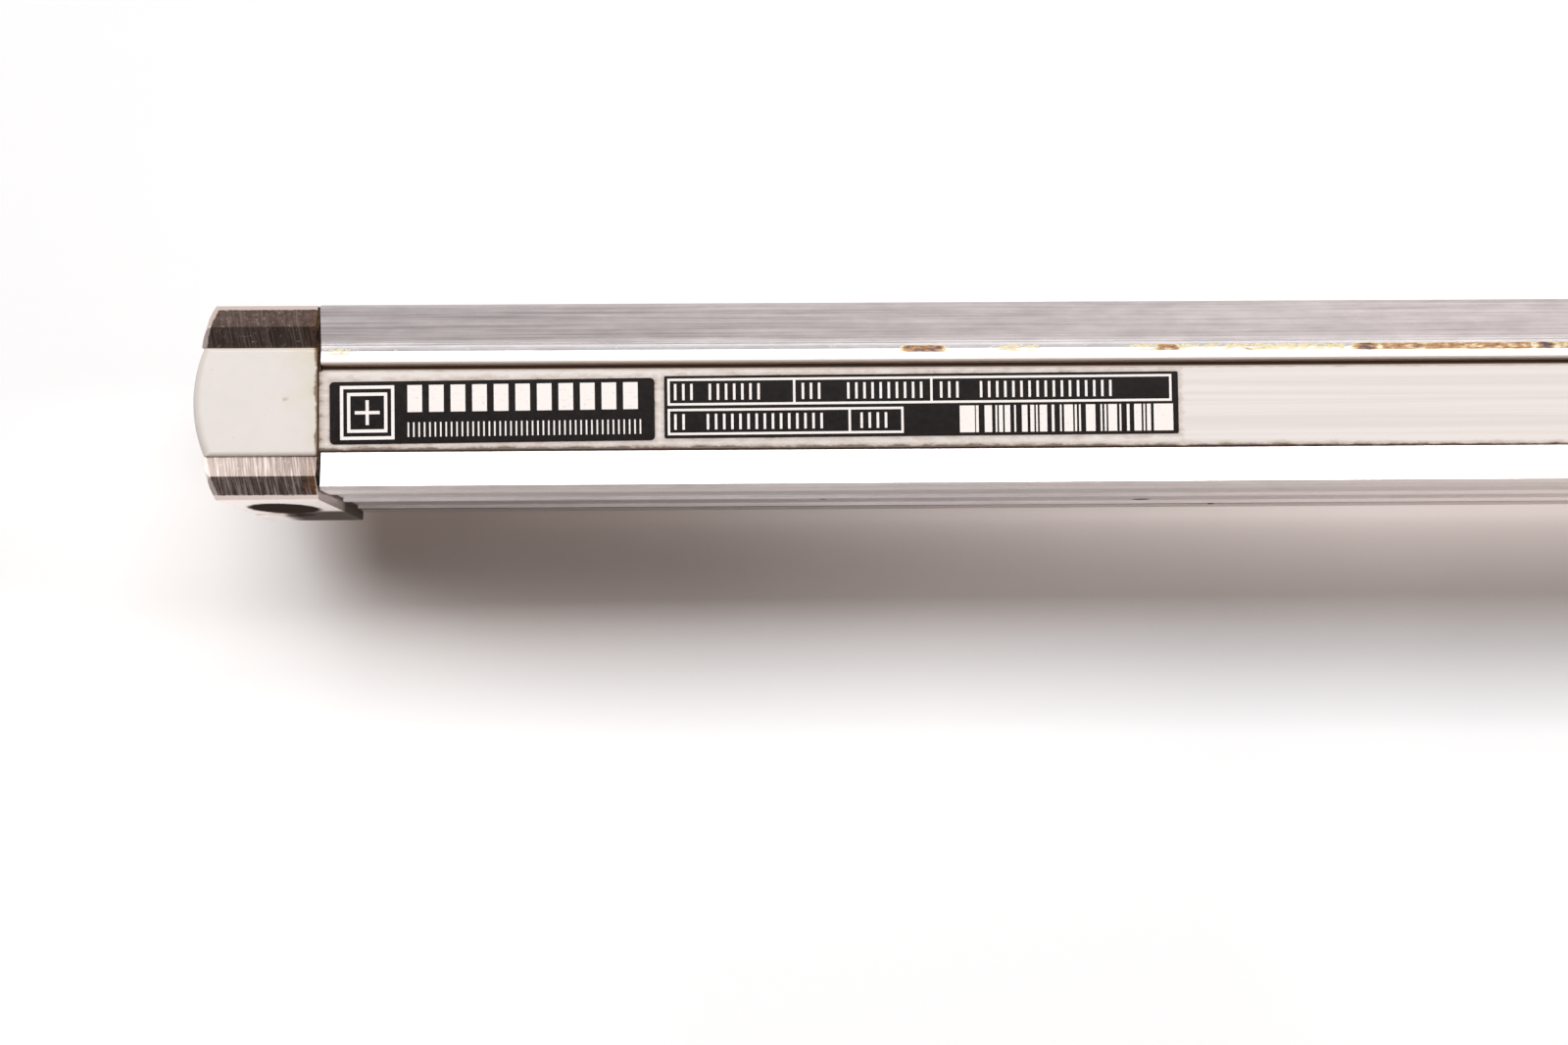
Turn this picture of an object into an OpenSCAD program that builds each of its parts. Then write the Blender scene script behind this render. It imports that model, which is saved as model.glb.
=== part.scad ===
// Sealed linear encoder with a glass scale, slimline housing.
// X runs along the measuring direction, Y through the thickness, Z up.
// The origin is the middle of the face that the mounting block stands on, at mid travel.
// The housing's labelled face is up, and the sealing lips and the scanning unit are below it.

/* [Lengths] */
// Measuring length, which is the travel of the scanning unit
measuring_length = 370; // [170:10:1240]
// Overall length beyond the measuring length, both ends together
end_allowance = 115; // [112:1:160]
// One end block with its gasket and cap
end_length = 11.8; // [11.2:0.1:14]
// End of the unit to the middle of its mounting hole
hole_inset = 5; // [4.8:0.1:5.6]

/* [Housing] */
// Thickness of the extruded housing
housing_w = 17.1; // [16.8:0.1:19]
// Height of the extruded housing
housing_h = 32.2; // [31:0.2:38]
// Side wall of the extrusion
side_wall = 1.6; // [1.3:0.1:2]
// Ceiling of the cavity to the top of the housing
top_wall = 5.2; // [4.9:0.1:6.5]
// Height of the two flanges that carry the sealing lips
flange_h = 4.6; // [4.2:0.1:5.4]
// End blocks proud of the housing on the mounting side
front_proud = 0.8; // [0.3:0.1:1.2]
// End blocks proud of the housing on the far side
back_proud = 0.1; // [0.05:0.05:0.6]
// How far the shoulders fall from the edges to the cover strip
shoulder_fall = 0.7; // [0.4:0.1:1]
// Depth of the two shallow panels along each side
panel_depth = 0.3; // [0.1:0.05:0.45]

/* [Cover strip] */
// Width of the cover strip
strip_w = 7.55; // [6.5:0.05:7.8]
// Thickness of the cover strip
strip_t = 0.9; // [0.6:0.1:1.2]
// Housing edge to the cover strip
strip_inset = 3.5; // [3.2:0.1:3.8]
// Slot between the strip and the bead that holds it
bead_gap = 0.55; // [0.3:0.05:0.8]
// Width of the bead along the strip
bead_w = 1.2; // [0.9:0.1:1.4]

/* [Identification plates] */
// Length of the first plate
plate_short_l = 29.9; // [15:0.1:40]
// Length of the second plate
plate_long_l = 47.6; // [20:0.1:60]
// Height of both plates
plate_w = 5.75; // [3:0.05:6.2]
// Thickness of both plates
plate_t = 0.15; // [0.1:0.05:0.3]
// Rise of the first plate above the middle of the strip, as it was stuck on
plate_short_rise = -0.08; // [-0.3:0.02:0.3]
// Rise of the second plate above the middle of the strip
plate_long_rise = 0.28; // [-0.3:0.02:0.36]
// Turn of the first plate against the strip, in degrees
plate_short_turn = 0.44; // [-0.5:0.02:0.5]
// Turn of the second plate against the strip, in degrees
plate_long_turn = 0.22; // [-0.3:0.02:0.3]

/* [End blocks] */
// Gasket between the housing and an end block
gasket_t = 0.3; // [0.2:0.05:0.8]
// Width of the moulded end cap
cap_w = 10.1; // [8.5:0.1:10.5]
// Wall of the end cap over the end face
cap_wall = 1.4; // [1:0.1:1.7]
// Depth of the end cap into the top of the block
cap_depth = 1.2; // [0.9:0.1:1.3]
// Radius of the curved end of the block
end_radius = 24; // [20:1:60]
// Radius of the curved end of the cap
cap_radius = 13; // [11:1:40]
// Plug of the end block inside the housing
spigot_l = 6; // [3:0.5:6]
// Clearance hole for an M5 mounting screw
mount_d = 5.5; // [4.5:0.1:5.6]
// Mounting hole above the underside of the housing
hole_height = 9.5; // [7:0.5:12]
// Diameter of the screws that hold an end block
end_screw_d = 2; // [1.6:0.1:2.1]
// Thread of the sealing air inlet
air_thread_d = 5; // [4:0.5:5]

/* [Scale] */
// Thickness of the glass scale
glass_t = 2.8; // [2.2:0.1:3.2]
// Elastic bond around the glass
bond_t = 0.3; // [0.2:0.05:0.4]
// Ribs that hold the glass, below the ceiling
rib_h = 2.1; // [1.6:0.1:2.6]
// Thickness of a rib
rib_t = 1; // [0.8:0.1:1.1]
// Thickness of the graduation layer
track_t = 0.05; // [0.03:0.01:0.08]

/* [Scanning carriage] */
// Length of the carriage
carriage_l = 60; // [56:1:80]
// Diameter of the guide rollers
roller_d = 5; // [4.6:0.1:5.4]
// Width of the guide rollers
roller_w = 2.3; // [2:0.1:2.5]
// Clearance of the carriage to the walls
carriage_gap = 0.6; // [0.4:0.05:0.7]
// Thickness of the limb that holds the lamp
lamp_limb_t = 2.55; // [2.2:0.05:2.7]
// Diameter of the condenser lens
lens_d = 7; // [5:0.2:7.4]

/* [Sealing and blade] */
// Slot between the flanges
slot_w = 5.2; // [4.8:0.1:5.6]
// Thickness of the blade that passes between the lips
blade_t = 1; // [0.8:0.05:1.2]
// Length of the blade
blade_l = 60; // [52:1:80]
// Clearance of each lip to the blade
lip_gap = 0.1; // [0.05:0.05:0.3]

/* [Mounting block] */
// Length of the mounting block
block_l = 91; // [86:1:110]
// Thickness of the mounting block
block_w = 17; // [16:0.2:17.6]
// Height of the mounting block
block_h = 12.5; // [12.2:0.1:15]
// Gap between the mounting block and the housing
air_gap = 1.5; // [1.2:0.1:1.8]
// Distance between the block's mounting holes
block_hole_spacing = 64; // [62:1:66]
// Counterbore for the head of the mounting screw
counterbore_d = 9; // [8.6:0.1:9.4]
// Depth of the counterbore
counterbore_depth = 5.4; // [4:0.1:6]
// Width of the connector socket
socket_w = 11; // [9:0.5:12]
// Height of the connector socket
socket_h = 7; // [6.4:0.2:7.6]
// Depth of the connector socket
socket_depth = 6; // [5.6:0.1:6.2]
// Thickness of the block's bottom cover
cover_t = 1; // [0.8:0.1:1.4]

/* [Hidden] */
$fn = 64;
skin = 0.02;       // face clearance of a piece that drops into a recess
fit = 0.1;         // clearance round a piece in its seat
cut = 1;           // how far a cutter runs past a face

overall_l = measuring_length + end_allowance;
half_l = overall_l / 2;
housing_l = overall_l - 2 * end_length;
housing_z = block_h + air_gap;
half_w = housing_w / 2;
end_w = housing_w + front_proud + back_proud;
housing_y = (front_proud - back_proud) / 2;

// housing section, in its own Y and Z
edge = 0.35;
cove_step = 0.1;
cavity_y = half_w - side_wall;
ceiling_z = housing_h - top_wall;
foot_z = housing_h - shoulder_fall;
strip_y0 = -half_w + strip_inset;
strip_y1 = strip_y0 + strip_w;
strip_z = foot_z;
bead_y0 = strip_y1 + bead_gap;
bead_y1 = bead_y0 + bead_w;
// the cove starts where the far shoulder has fallen to the level of the strip
cove_r = 2.2;
cove_foot_y = bead_y1 + 1;
shoulder_slope = atan2(housing_h - foot_z - cove_step, half_w - edge - cove_foot_y);
cove_y = cove_foot_y - cove_r * sin(shoulder_slope);
cove_z = foot_z + cove_step - cove_r * (1 - cos(shoulder_slope));
// the bead's top slopes down into the cove, and its edge at the slot is rounded
bead_r = 0.25;
bead_slope = 12;
bead_z = cove_z + cove_r * (1 - cos(bead_slope)) - bead_r * cos(bead_slope)
  + (cove_y - cove_r * sin(bead_slope) - bead_y0 - bead_r * (1 + sin(bead_slope))) * tan(bead_slope);
strip_over = gasket_t - 0.1;
panel_drop = 6.2;
panel_top_z = housing_h - panel_drop;
panel_rib_z = 15.9;
panel_rib_w = 0.9;
clamp_groove_w = 1.3;
clamp_groove_depth = 0.6;
clamp_groove_z = 4.9;
mouth_bevel = 0.8;
barb_z = 1.5;
stem_h = 0.9;
barb_h = 1.5;
stem_l = 1;
barb_l = 0.8;
screw_top_y = 3.2;
screw_top_z = (ceiling_z + bond_t + strip_z - strip_t) / 2;
screw_low_y = (half_w + slot_w / 2 + stem_l + barb_l) / 2 - 0.1;
screw_low_z = 2.4;

// vertical stack above the flanges
plate_gap = 0.4;
coupling_t = 0.8;
spring_t = 0.3;
spring_rise = 0.8;
roller_drop = 0.6;
coupling_z = flange_h + plate_gap;
spring_z = coupling_z + coupling_t;
carriage_z = spring_z + spring_t + spring_rise;
roller_touch = 0.02;
glass_z0 = carriage_z - roller_drop + roller_d + roller_touch;
glass_z1 = ceiling_z - 0.1;
groove_z = glass_z1 + bond_t;
rib_z = ceiling_z - rib_h;

// across the glass
glass_gap = 0.5;
limb_gap = 1.1;
lamp_y0 = -cavity_y + carriage_gap;
lamp_y1 = lamp_y0 + lamp_limb_t;
glass_y0 = lamp_y1 + glass_gap;
glass_y1 = glass_y0 + glass_t;
glass_yc = (glass_y0 + glass_y1) / 2;
sensor_y0 = glass_y1 + limb_gap;
sensor_y1 = cavity_y - carriage_gap;
glass_l = housing_l - 2 * spigot_l - 1.4;

// rollers and tracks up the face of the glass
ear_t = 1.35;
roller_play = 0.2;
inner_ring_d = 3;
pin_d = 1.5;
running_fit = 0.05;
roller_chamfer = 0.25;
face_roller_y = glass_y1 + roller_d / 2 + roller_touch;
low_roller_z = glass_z0 + 0.15 + roller_w / 2;
limb_top_z = rib_z - carriage_gap;
high_roller_z = limb_top_z - ear_t - roller_play - roller_w / 2;
edge_roller_z = glass_z0 - roller_d / 2 - roller_touch;
face_roller_x = carriage_l / 2 - 6;
edge_roller_x = carriage_l / 2 - 8;
track_z0 = low_roller_z + roller_w / 2 + 0.15;
track_z1 = high_roller_z - roller_w / 2 - 0.15;
track_share = 0.66;
track_run = 10;
grating_z1 = track_z0 + (track_z1 - track_z0) * track_share;
mark_z0 = grating_z1 + 0.4;
optic_z = (track_z0 + grating_z1) / 2 + 0.6;
mark_l = 0.6;
mark_pitch = 20;
mark_step = 0.5;

// optics and boards
bridge_top_z = glass_z0 - 0.6;
reticle_l = 18;
reticle_h = 7.2;
reticle_t = 1.4;
reticle_gap = 0.25;
window_rim = 1.2;
roller_lap = 0.5;
board_l = 2 * (edge_roller_x - roller_d / 2 + roller_lap);
board_t = 0.8;
chip_l = 10;
chip_h = 3.6;
chip_t = 0.7;
board_z0 = carriage_z + 3.4;
board_z1 = high_roller_z - roller_w / 2 - 1.4;
board_y = sensor_y1 - 1.3;
lamp_limb_l = board_l;
lamp_limb_top = optic_z + lens_d / 2 + 1;
lamp_board_t = 0.5;
lamp_rebate = 0.8;
lens_t = 1.3;
ribbon_t = 0.3;
ribbon_w = 4;
signal_x = board_l / 2 - ribbon_w;
lamp_ribbon_x = -board_l / 2;

// blade and coupling
blade_flat = 44;
tip_t = 0.2;
coupling_l = 26;
coupling_w = 3.6;
rivet_x = 10.5;
rivet_d = 1.2;
rivet_head_d = 2.2;
rivet_head_h = 0.45;
crown_l = 8;

// mounting block
pocket_l = 52;
pocket_w = 12;
ledge = 1;
block_top_wall = 1.5;
pocket_z = block_h - block_top_wall;
cover_recess = 0.15;
cover_l = pocket_l + 6;
cover_w = pocket_w + 1.6;
main_board_t = 1;
main_board_z = cover_recess + cover_t + 1.8;
ic_size = 6;
ic_t = 1.2;
ic_pitch = 13;
ic_first_x = -pocket_l / 2 + 9;
foot_t = 0.8;
foot_w = 6;
foot_l = 48;
block_hole_x = block_hole_spacing / 2;
cover_screw_x = (pocket_l + cover_l) / 4 - 0.3;
cover_screw_y = pocket_w / 2 - 1.2;
cover_screw_d = 1.6;
socket_z = block_h / 2;
insert_t = 1.4;
wire_d = 1.1;
wire_z = pocket_z - 0.8;
wire_y = -pocket_w / 2 + ledge + wire_d / 2 + fit;

// end pieces
gasket_inset = 0.15;
cap_bulge = 0.3;
cap_top_z = housing_h - 0.2;
cap_low_z = 13.5;
cap_edge = 0.4;
cap_nose = 0.9;
rim = 0.45;
ridge_y = end_w / 2 - 2.1;
ridge_fall = 0.85;
joint_bevel = 0.15;
block_in_x = half_l - end_length + gasket_t;
block_out_x = half_l - cap_bulge;
screw_head_d = 1.7 * end_screw_d;
screw_head_h = 0.9 * end_screw_d;
screw_seat_x = half_l - cap_wall - cap_bulge - 1.1 - screw_head_h;
screw_reach = 5;
hole_chamfer = 0.3;
air_z = (hole_height + mount_d / 2 + cap_top_z - cap_depth) / 2;
air_plug_l = 5;
air_way_d = 2.5;

// ---------------------------------------------------------------- helpers

// Puts a piece into the housing section's own Y and Z.
module in_housing() {
  translate([0, housing_y, housing_z]) children();
}

// Runs a section drawn in Y and Z along X, centred.
module along_x(length) {
  rotate([90, 0, 90]) linear_extrude(length, center = true) children();
}

// A box from its two corners.
module span(low, high) {
  translate(low) cube(high - low);
}

// Draws a section on both sides of the middle plane.
module both_sides() {
  children();
  mirror([1, 0, 0]) children();
}

// Turns a right-hand end piece into a left-hand one.
module at_end(side) {
  mirror([side < 0 ? 1 : 0, 0, 0]) children();
}

function arc(cy, cz, r, from, to, steps) =
  [for (i = [0 : steps]) let (a = from + (to - from) * i / steps) [cy + r * cos(a), cz + r * sin(a)]];

// ---------------------------------------------------------------- housing

// Outer form: sloped shoulders, a shallow cove that runs up to the bead, and the seat of the strip.
module housing_outer() {
  polygon(concat(
    [[-half_w + edge, 0], [half_w - edge, 0], [half_w, edge],
     [half_w, housing_h - edge], [half_w - edge, housing_h]],
    arc(cove_y, cove_z + cove_r, cove_r, 270 + shoulder_slope, 270 - bead_slope, 4),
    arc(bead_y0 + bead_r, bead_z, bead_r, 90 - bead_slope, 180, 5),
    [[bead_y0, strip_z - strip_t], [strip_y0, strip_z - strip_t], [strip_y0, foot_z],
     [-half_w + edge, housing_h], [-half_w, housing_h - edge], [-half_w, edge]]));
}

// A shallow panel along both sides, with slanted edges.
module side_panel(z0, z1, depth) {
  both_sides()
    polygon([[half_w + cut, z0], [half_w, z0], [half_w - depth, z0 + depth],
      [half_w - depth, z1 - depth], [half_w, z1], [half_w + cut, z1]]);
}

// The barbed groove that holds a lip, seen from the slot.
module lip_groove(clear) {
  translate([slot_w / 2 - cut, barb_z - stem_h / 2 - clear])
    square([cut + stem_l + clear, stem_h + 2 * clear]);
  translate([slot_w / 2 + stem_l - clear, barb_z - barb_h / 2 - clear])
    square([barb_l + 2 * clear, barb_h + 2 * clear]);
}

module cavity_section() {
  difference() {
    translate([-cavity_y, flange_h])
      square([2 * cavity_y, ceiling_z - flange_h]);
    for (y = [glass_y0 - bond_t - rib_t, glass_y1 + bond_t])
      translate([y, rib_z]) square([rib_t, rib_h + cut]);
  }
  translate([glass_y0 - bond_t, rib_z])
    square([glass_t + 2 * bond_t, groove_z - rib_z]);
}

module screw_channels(d) {
  for (y = [-screw_top_y, screw_top_y]) translate([y - housing_y, screw_top_z]) circle(d = d);
  for (y = [-screw_low_y, screw_low_y]) translate([y, screw_low_z]) circle(d = d);
}

module housing_section() {
  difference() {
    housing_outer();
    cavity_section();
    translate([-slot_w / 2, -cut]) square([slot_w, flange_h + 2 * cut]);
    both_sides()
      polygon([[slot_w / 2 - cut, -cut], [slot_w / 2 + mouth_bevel + cut, -cut],
        [slot_w / 2 - cut, mouth_bevel + cut]]);
    both_sides() lip_groove(0);
    screw_channels(end_screw_d + fit);
    side_panel(clamp_groove_z + clamp_groove_w, panel_rib_z, panel_depth);
    side_panel(panel_rib_z + panel_rib_w, panel_top_z, panel_depth);
    both_sides()
      translate([half_w - clamp_groove_depth, clamp_groove_z])
        square([clamp_groove_depth + cut, clamp_groove_w]);
  }
}

module housing_extrusion() {
  color("silver") in_housing() along_x(housing_l) housing_section();
}

module cover_strip() {
  color("linen") in_housing() along_x(housing_l + 2 * strip_over)
    polygon([[strip_y0 + fit, strip_z - strip_t], [strip_y1, strip_z - strip_t],
      [strip_y1, strip_z - 0.1], [strip_y1 - 0.1, strip_z],
      [strip_y0 + fit + 0.1, strip_z], [strip_y0 + fit, strip_z - 0.1]]);
}

// A flat foil plate with rounded corners, from x0 along the strip, stuck on a little askew.
module plate(x0, length, corner, rise, turn) {
  translate([x0 + length / 2, (strip_y0 + fit + strip_y1) / 2 + rise, strip_z])
    rotate([0, 0, turn]) linear_extrude(plate_t)
      difference() {
        square([length, plate_w], center = true);
        for (x = [-1, 1], y = [-1, 1])
          translate([x * (length / 2 - corner), y * (plate_w / 2 - corner)])
            mirror([x < 0 ? 1 : 0, 0]) mirror([0, y < 0 ? 1 : 0])
              difference() {
                square(corner);
                circle(r = corner);
              }
      }
}

plate_start = -housing_l / 2 + 0.8;
plate_space = 0.9;
plate_short_corner = 0.4;
plate_long_corner = 0.15;

module plate_short() {
  color("black") in_housing()
    plate(plate_start, plate_short_l, plate_short_corner, plate_short_rise, plate_short_turn);
}

module plate_long() {
  color("black") in_housing()
    plate(plate_start + plate_short_l + plate_space, plate_long_l, plate_long_corner,
      plate_long_rise, plate_long_turn);
}

// ---------------------------------------------------------------- scale

module glass_scale() {
  color("lightcyan") in_housing() along_x(glass_l)
    translate([glass_y0, glass_z0]) square([glass_t, glass_z1 - glass_z0]);
}

module graduation() {
  color("dimgray") in_housing() along_x(measuring_length + 2 * track_run)
    translate([glass_y1, track_z0]) square([track_t, grating_z1 - track_z0]);
}

// Distance-coded marks: each even one sits on the pitch, each odd one drifts by one more step.
module reference_marks() {
  count = floor(measuring_length / mark_pitch);
  color("dimgray") in_housing()
    for (i = [0 : count - 1], odd = [0, 1])
      translate([-measuring_length / 2 + i * mark_pitch
          + odd * (mark_pitch / 2 + (i - count / 2) * mark_step * 10 / count),
          glass_y1, mark_z0])
        cube([mark_l, track_t, track_z1 - mark_z0]);
}

// Elastic bond between the ribs and the top edge of the glass.
module scale_bond() {
  color("gray") in_housing() along_x(glass_l)
    difference() {
      translate([glass_y0 - bond_t, rib_z]) square([glass_t + 2 * bond_t, groove_z - rib_z]);
      translate([glass_y0, glass_z0]) square([glass_t, glass_z1 - glass_z0]);
    }
}

// One lip: barb and stem in its groove, a root on the flange and a flap to the blade.
module lip_section() {
  flap = blade_t / 2 + lip_gap;
  translate([slot_w / 2 - 0.1, barb_z - stem_h / 2 + skin])
    square([stem_l + 0.1, stem_h - 2 * skin]);
  translate([slot_w / 2 + stem_l, barb_z - barb_h / 2 + skin])
    square([barb_l - skin, barb_h - 2 * skin]);
  polygon([[slot_w / 2 - skin, barb_z + 0.9], [slot_w / 2 - 0.6, barb_z + 1.1],
    [flap + 0.35, barb_z + 0.35], [flap, barb_z - 0.2], [flap, barb_z - 0.55],
    [flap + 0.5, barb_z - 0.35], [slot_w / 2 - 0.5, barb_z - 0.3],
    [slot_w / 2 - skin, barb_z - 0.6]]);
}

module lip_back() {
  color("black") in_housing() along_x(housing_l) lip_section();
}

module lip_front() {
  color("black") in_housing() along_x(housing_l) mirror([1, 0, 0]) lip_section();
}

// ---------------------------------------------------------------- ends

// Section of the end block: a ridge along each flank and a chamfer outside it.
module end_section() {
  w = end_w / 2;
  polygon([[-w + edge, 0], [w - edge, 0], [w, edge],
    [w, housing_h - ridge_fall - rim], [w - rim, housing_h - ridge_fall],
    [ridge_y, housing_h], [cap_w / 2, housing_h - shoulder_fall],
    [-cap_w / 2, housing_h - shoulder_fall], [-ridge_y, housing_h],
    [-w + rim, housing_h - ridge_fall], [-w, housing_h - ridge_fall - rim], [-w, edge]]);
}

// A tall round with a softened upper edge, whose rim passes through x.
module end_round(x, radius, soft) {
  translate([x - radius, 0, 0])
    rotate_extrude()
      polygon(concat([[0, -cut], [radius, -cut]],
        arc(radius - soft, housing_h - soft, soft, 0, 90, 6),
        [[0, housing_h]]));
}

// Bevels the joint end of one sloped facet, which falls from the ridge to (y, z).
module facet_bevel(y, z) {
  translate([block_in_x, (ridge_y + y) / 2, (housing_h + z) / 2])
    rotate([atan2(housing_h - z, ridge_y - y), 0, 0]) rotate([0, 45, 0])
      cube([joint_bevel * sqrt(2), end_w / 2, joint_bevel * sqrt(2)], center = true);
}

module mounting_bore() {
  translate([half_l - hole_inset, 0, hole_height]) rotate([90, 0, 0]) {
    cylinder(d = mount_d, h = end_w + 2 * cut, center = true);
    for (s = [0, 1]) mirror([0, 0, s])
      translate([0, 0, end_w / 2 - hole_chamfer])
        cylinder(r1 = mount_d / 2, r2 = mount_d / 2 + hole_chamfer + fit, h = hole_chamfer + fit);
  }
}

module end_screw_places() {
  for (y = [-screw_top_y, screw_top_y]) translate([0, y, screw_top_z]) children();
  for (y = [-screw_low_y, screw_low_y]) translate([0, y + housing_y, screw_low_z]) children();
}

module end_block() {
  translate([0, 0, housing_z]) difference() {
    union() {
      intersection() {
        translate([(block_in_x + half_l + cut) / 2, 0, 0])
          along_x(half_l + cut - block_in_x) end_section();
        end_round(block_out_x, end_radius, rim);
      }
      span([block_in_x - gasket_t - spigot_l, housing_y - cavity_y + fit, flange_h + 0.3],
           [block_in_x + cut, housing_y + cavity_y - fit, rib_z - 0.2]);
    }
    // seat of the cap, over the top and down the end
    span([block_in_x - cut, -cap_w / 2, cap_top_z - cap_depth],
         [half_l + cut, cap_w / 2, housing_h + cut]);
    span([half_l - cap_wall - cap_bulge, -cap_w / 2, cap_low_z],
         [half_l + cut, cap_w / 2, housing_h + cut]);
    for (s = [0, 1]) mirror([0, s, 0]) {
      facet_bevel(cap_w / 2, housing_h - shoulder_fall);
      facet_bevel(end_w / 2, housing_h - ridge_fall);
    }
    mounting_bore();
    end_screw_places() rotate([0, 90, 0]) {
      cylinder(d = end_screw_d + 2 * fit, h = half_l + cut);
      translate([0, 0, screw_seat_x]) cylinder(d = screw_head_d + 2 * fit, h = end_length);
    }
    translate([0, 0, air_z]) rotate([0, 90, 0]) {
      cylinder(d = air_way_d, h = half_l);
      translate([0, 0, half_l - cap_wall - cap_bulge - air_plug_l])
        cylinder(d = air_thread_d, h = end_length);
    }
  }
}

module end_block_left() { color("dimgray") at_end(-1) end_block(); }
module end_block_right() { color("dimgray") at_end(1) end_block(); }

// Moulded cap: a tongue over the top and a curved wall down the end.
module end_cap() {
  w = cap_w / 2 - fit / 2;
  translate([0, 0, housing_z]) difference() {
    intersection() {
      translate([(block_in_x + half_l) / 2, 0, 0])
        along_x(half_l - block_in_x)
          polygon(concat([[-w, cap_low_z + fit], [w, cap_low_z + fit]],
            arc(w - cap_edge, cap_top_z - cap_edge, cap_edge, 0, 90, 5),
            arc(-w + cap_edge, cap_top_z - cap_edge, cap_edge, 90, 180, 5)));
      translate([0, 0, cap_top_z - housing_h]) end_round(half_l, cap_radius, cap_nose);
    }
    span([block_in_x - cut, -cap_w, -cut],
         [half_l - cap_wall - cap_bulge, cap_w, cap_top_z - cap_depth]);
    translate([half_l - end_length, 0, air_z]) rotate([0, 90, 0])
      cylinder(d = air_thread_d + 1, h = end_length + cut);
  }
}

module end_cap_left() { color("linen") at_end(-1) end_cap(); }
module end_cap_right() { color("linen") at_end(1) end_cap(); }

module end_gasket() {
  g = gasket_inset;
  translate([block_in_x - gasket_t / 2, housing_y, housing_z]) along_x(gasket_t)
    difference() {
      polygon([[-half_w + g, g], [half_w - g, g], [half_w - g, housing_h - edge - g],
        [bead_y1, foot_z - g], [bead_y1, strip_z - strip_t - g], [strip_y0, strip_z - strip_t - g],
        [strip_y0, foot_z - g], [-half_w + g, housing_h - edge - g]]);
      translate([-cavity_y + fit / 2, flange_h + 0.3 - fit / 2])
        square([2 * cavity_y - fit, rib_z - flange_h - 0.5 + fit]);
      screw_channels(end_screw_d + 2 * fit);
    }
}

module end_gasket_left() { color("saddlebrown") at_end(-1) end_gasket(); }
module end_gasket_right() { color("saddlebrown") at_end(1) end_gasket(); }

// A cylinder head screw with a hexagon socket, its head seated at z = 0 and pointing down.
module socket_screw(d, length, head_d, head_h) {
  translate([0, 0, -length]) cylinder(d = d, h = length);
  difference() {
    cylinder(d = head_d, h = head_h);
    translate([0, 0, head_h / 2]) cylinder(d = 0.5 * head_d, h = head_h, $fn = 6);
  }
}

module end_screws() {
  translate([0, 0, housing_z]) end_screw_places()
    translate([screw_seat_x, 0, 0]) rotate([0, 90, 0])
      socket_screw(end_screw_d, screw_seat_x - housing_l / 2 + screw_reach,
        screw_head_d, screw_head_h);
}

module end_screws_left() { color("gray") at_end(-1) end_screws(); }
module end_screws_right() { color("gray") at_end(1) end_screws(); }

// Plug screw that closes the sealing air inlet.
module air_plug() {
  translate([half_l - cap_wall - cap_bulge - air_plug_l + skin, 0, housing_z + air_z])
    rotate([0, 90, 0]) difference() {
      cylinder(d = air_thread_d - skin, h = air_plug_l - 0.5);
      translate([0, 0, air_plug_l / 2]) cylinder(d = air_thread_d / 2, h = air_plug_l, $fn = 6);
    }
}

module air_plug_left() { color("gray") at_end(-1) air_plug(); }
module air_plug_right() { color("gray") at_end(1) air_plug(); }

// ---------------------------------------------------------------- carriage

// Places a roller or its pin: kind 0 rolls on the face of the glass, kind 1 on its edge.
module at_face_roller(x, z) { translate([x, face_roller_y, z]) children(); }
module at_edge_roller(x) { translate([x, glass_yc, edge_roller_z]) rotate([90, 0, 0]) children(); }

module each_roller() {
  at_face_roller(-face_roller_x, low_roller_z) children();
  at_face_roller(face_roller_x, low_roller_z) children();
  at_face_roller(0, high_roller_z) children();
  at_edge_roller(-edge_roller_x) children();
  at_edge_roller(edge_roller_x) children();
}

module roller_room() {
  cylinder(d = roller_d + 1, h = roller_w + 2 * roller_play, center = true);
}

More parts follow.
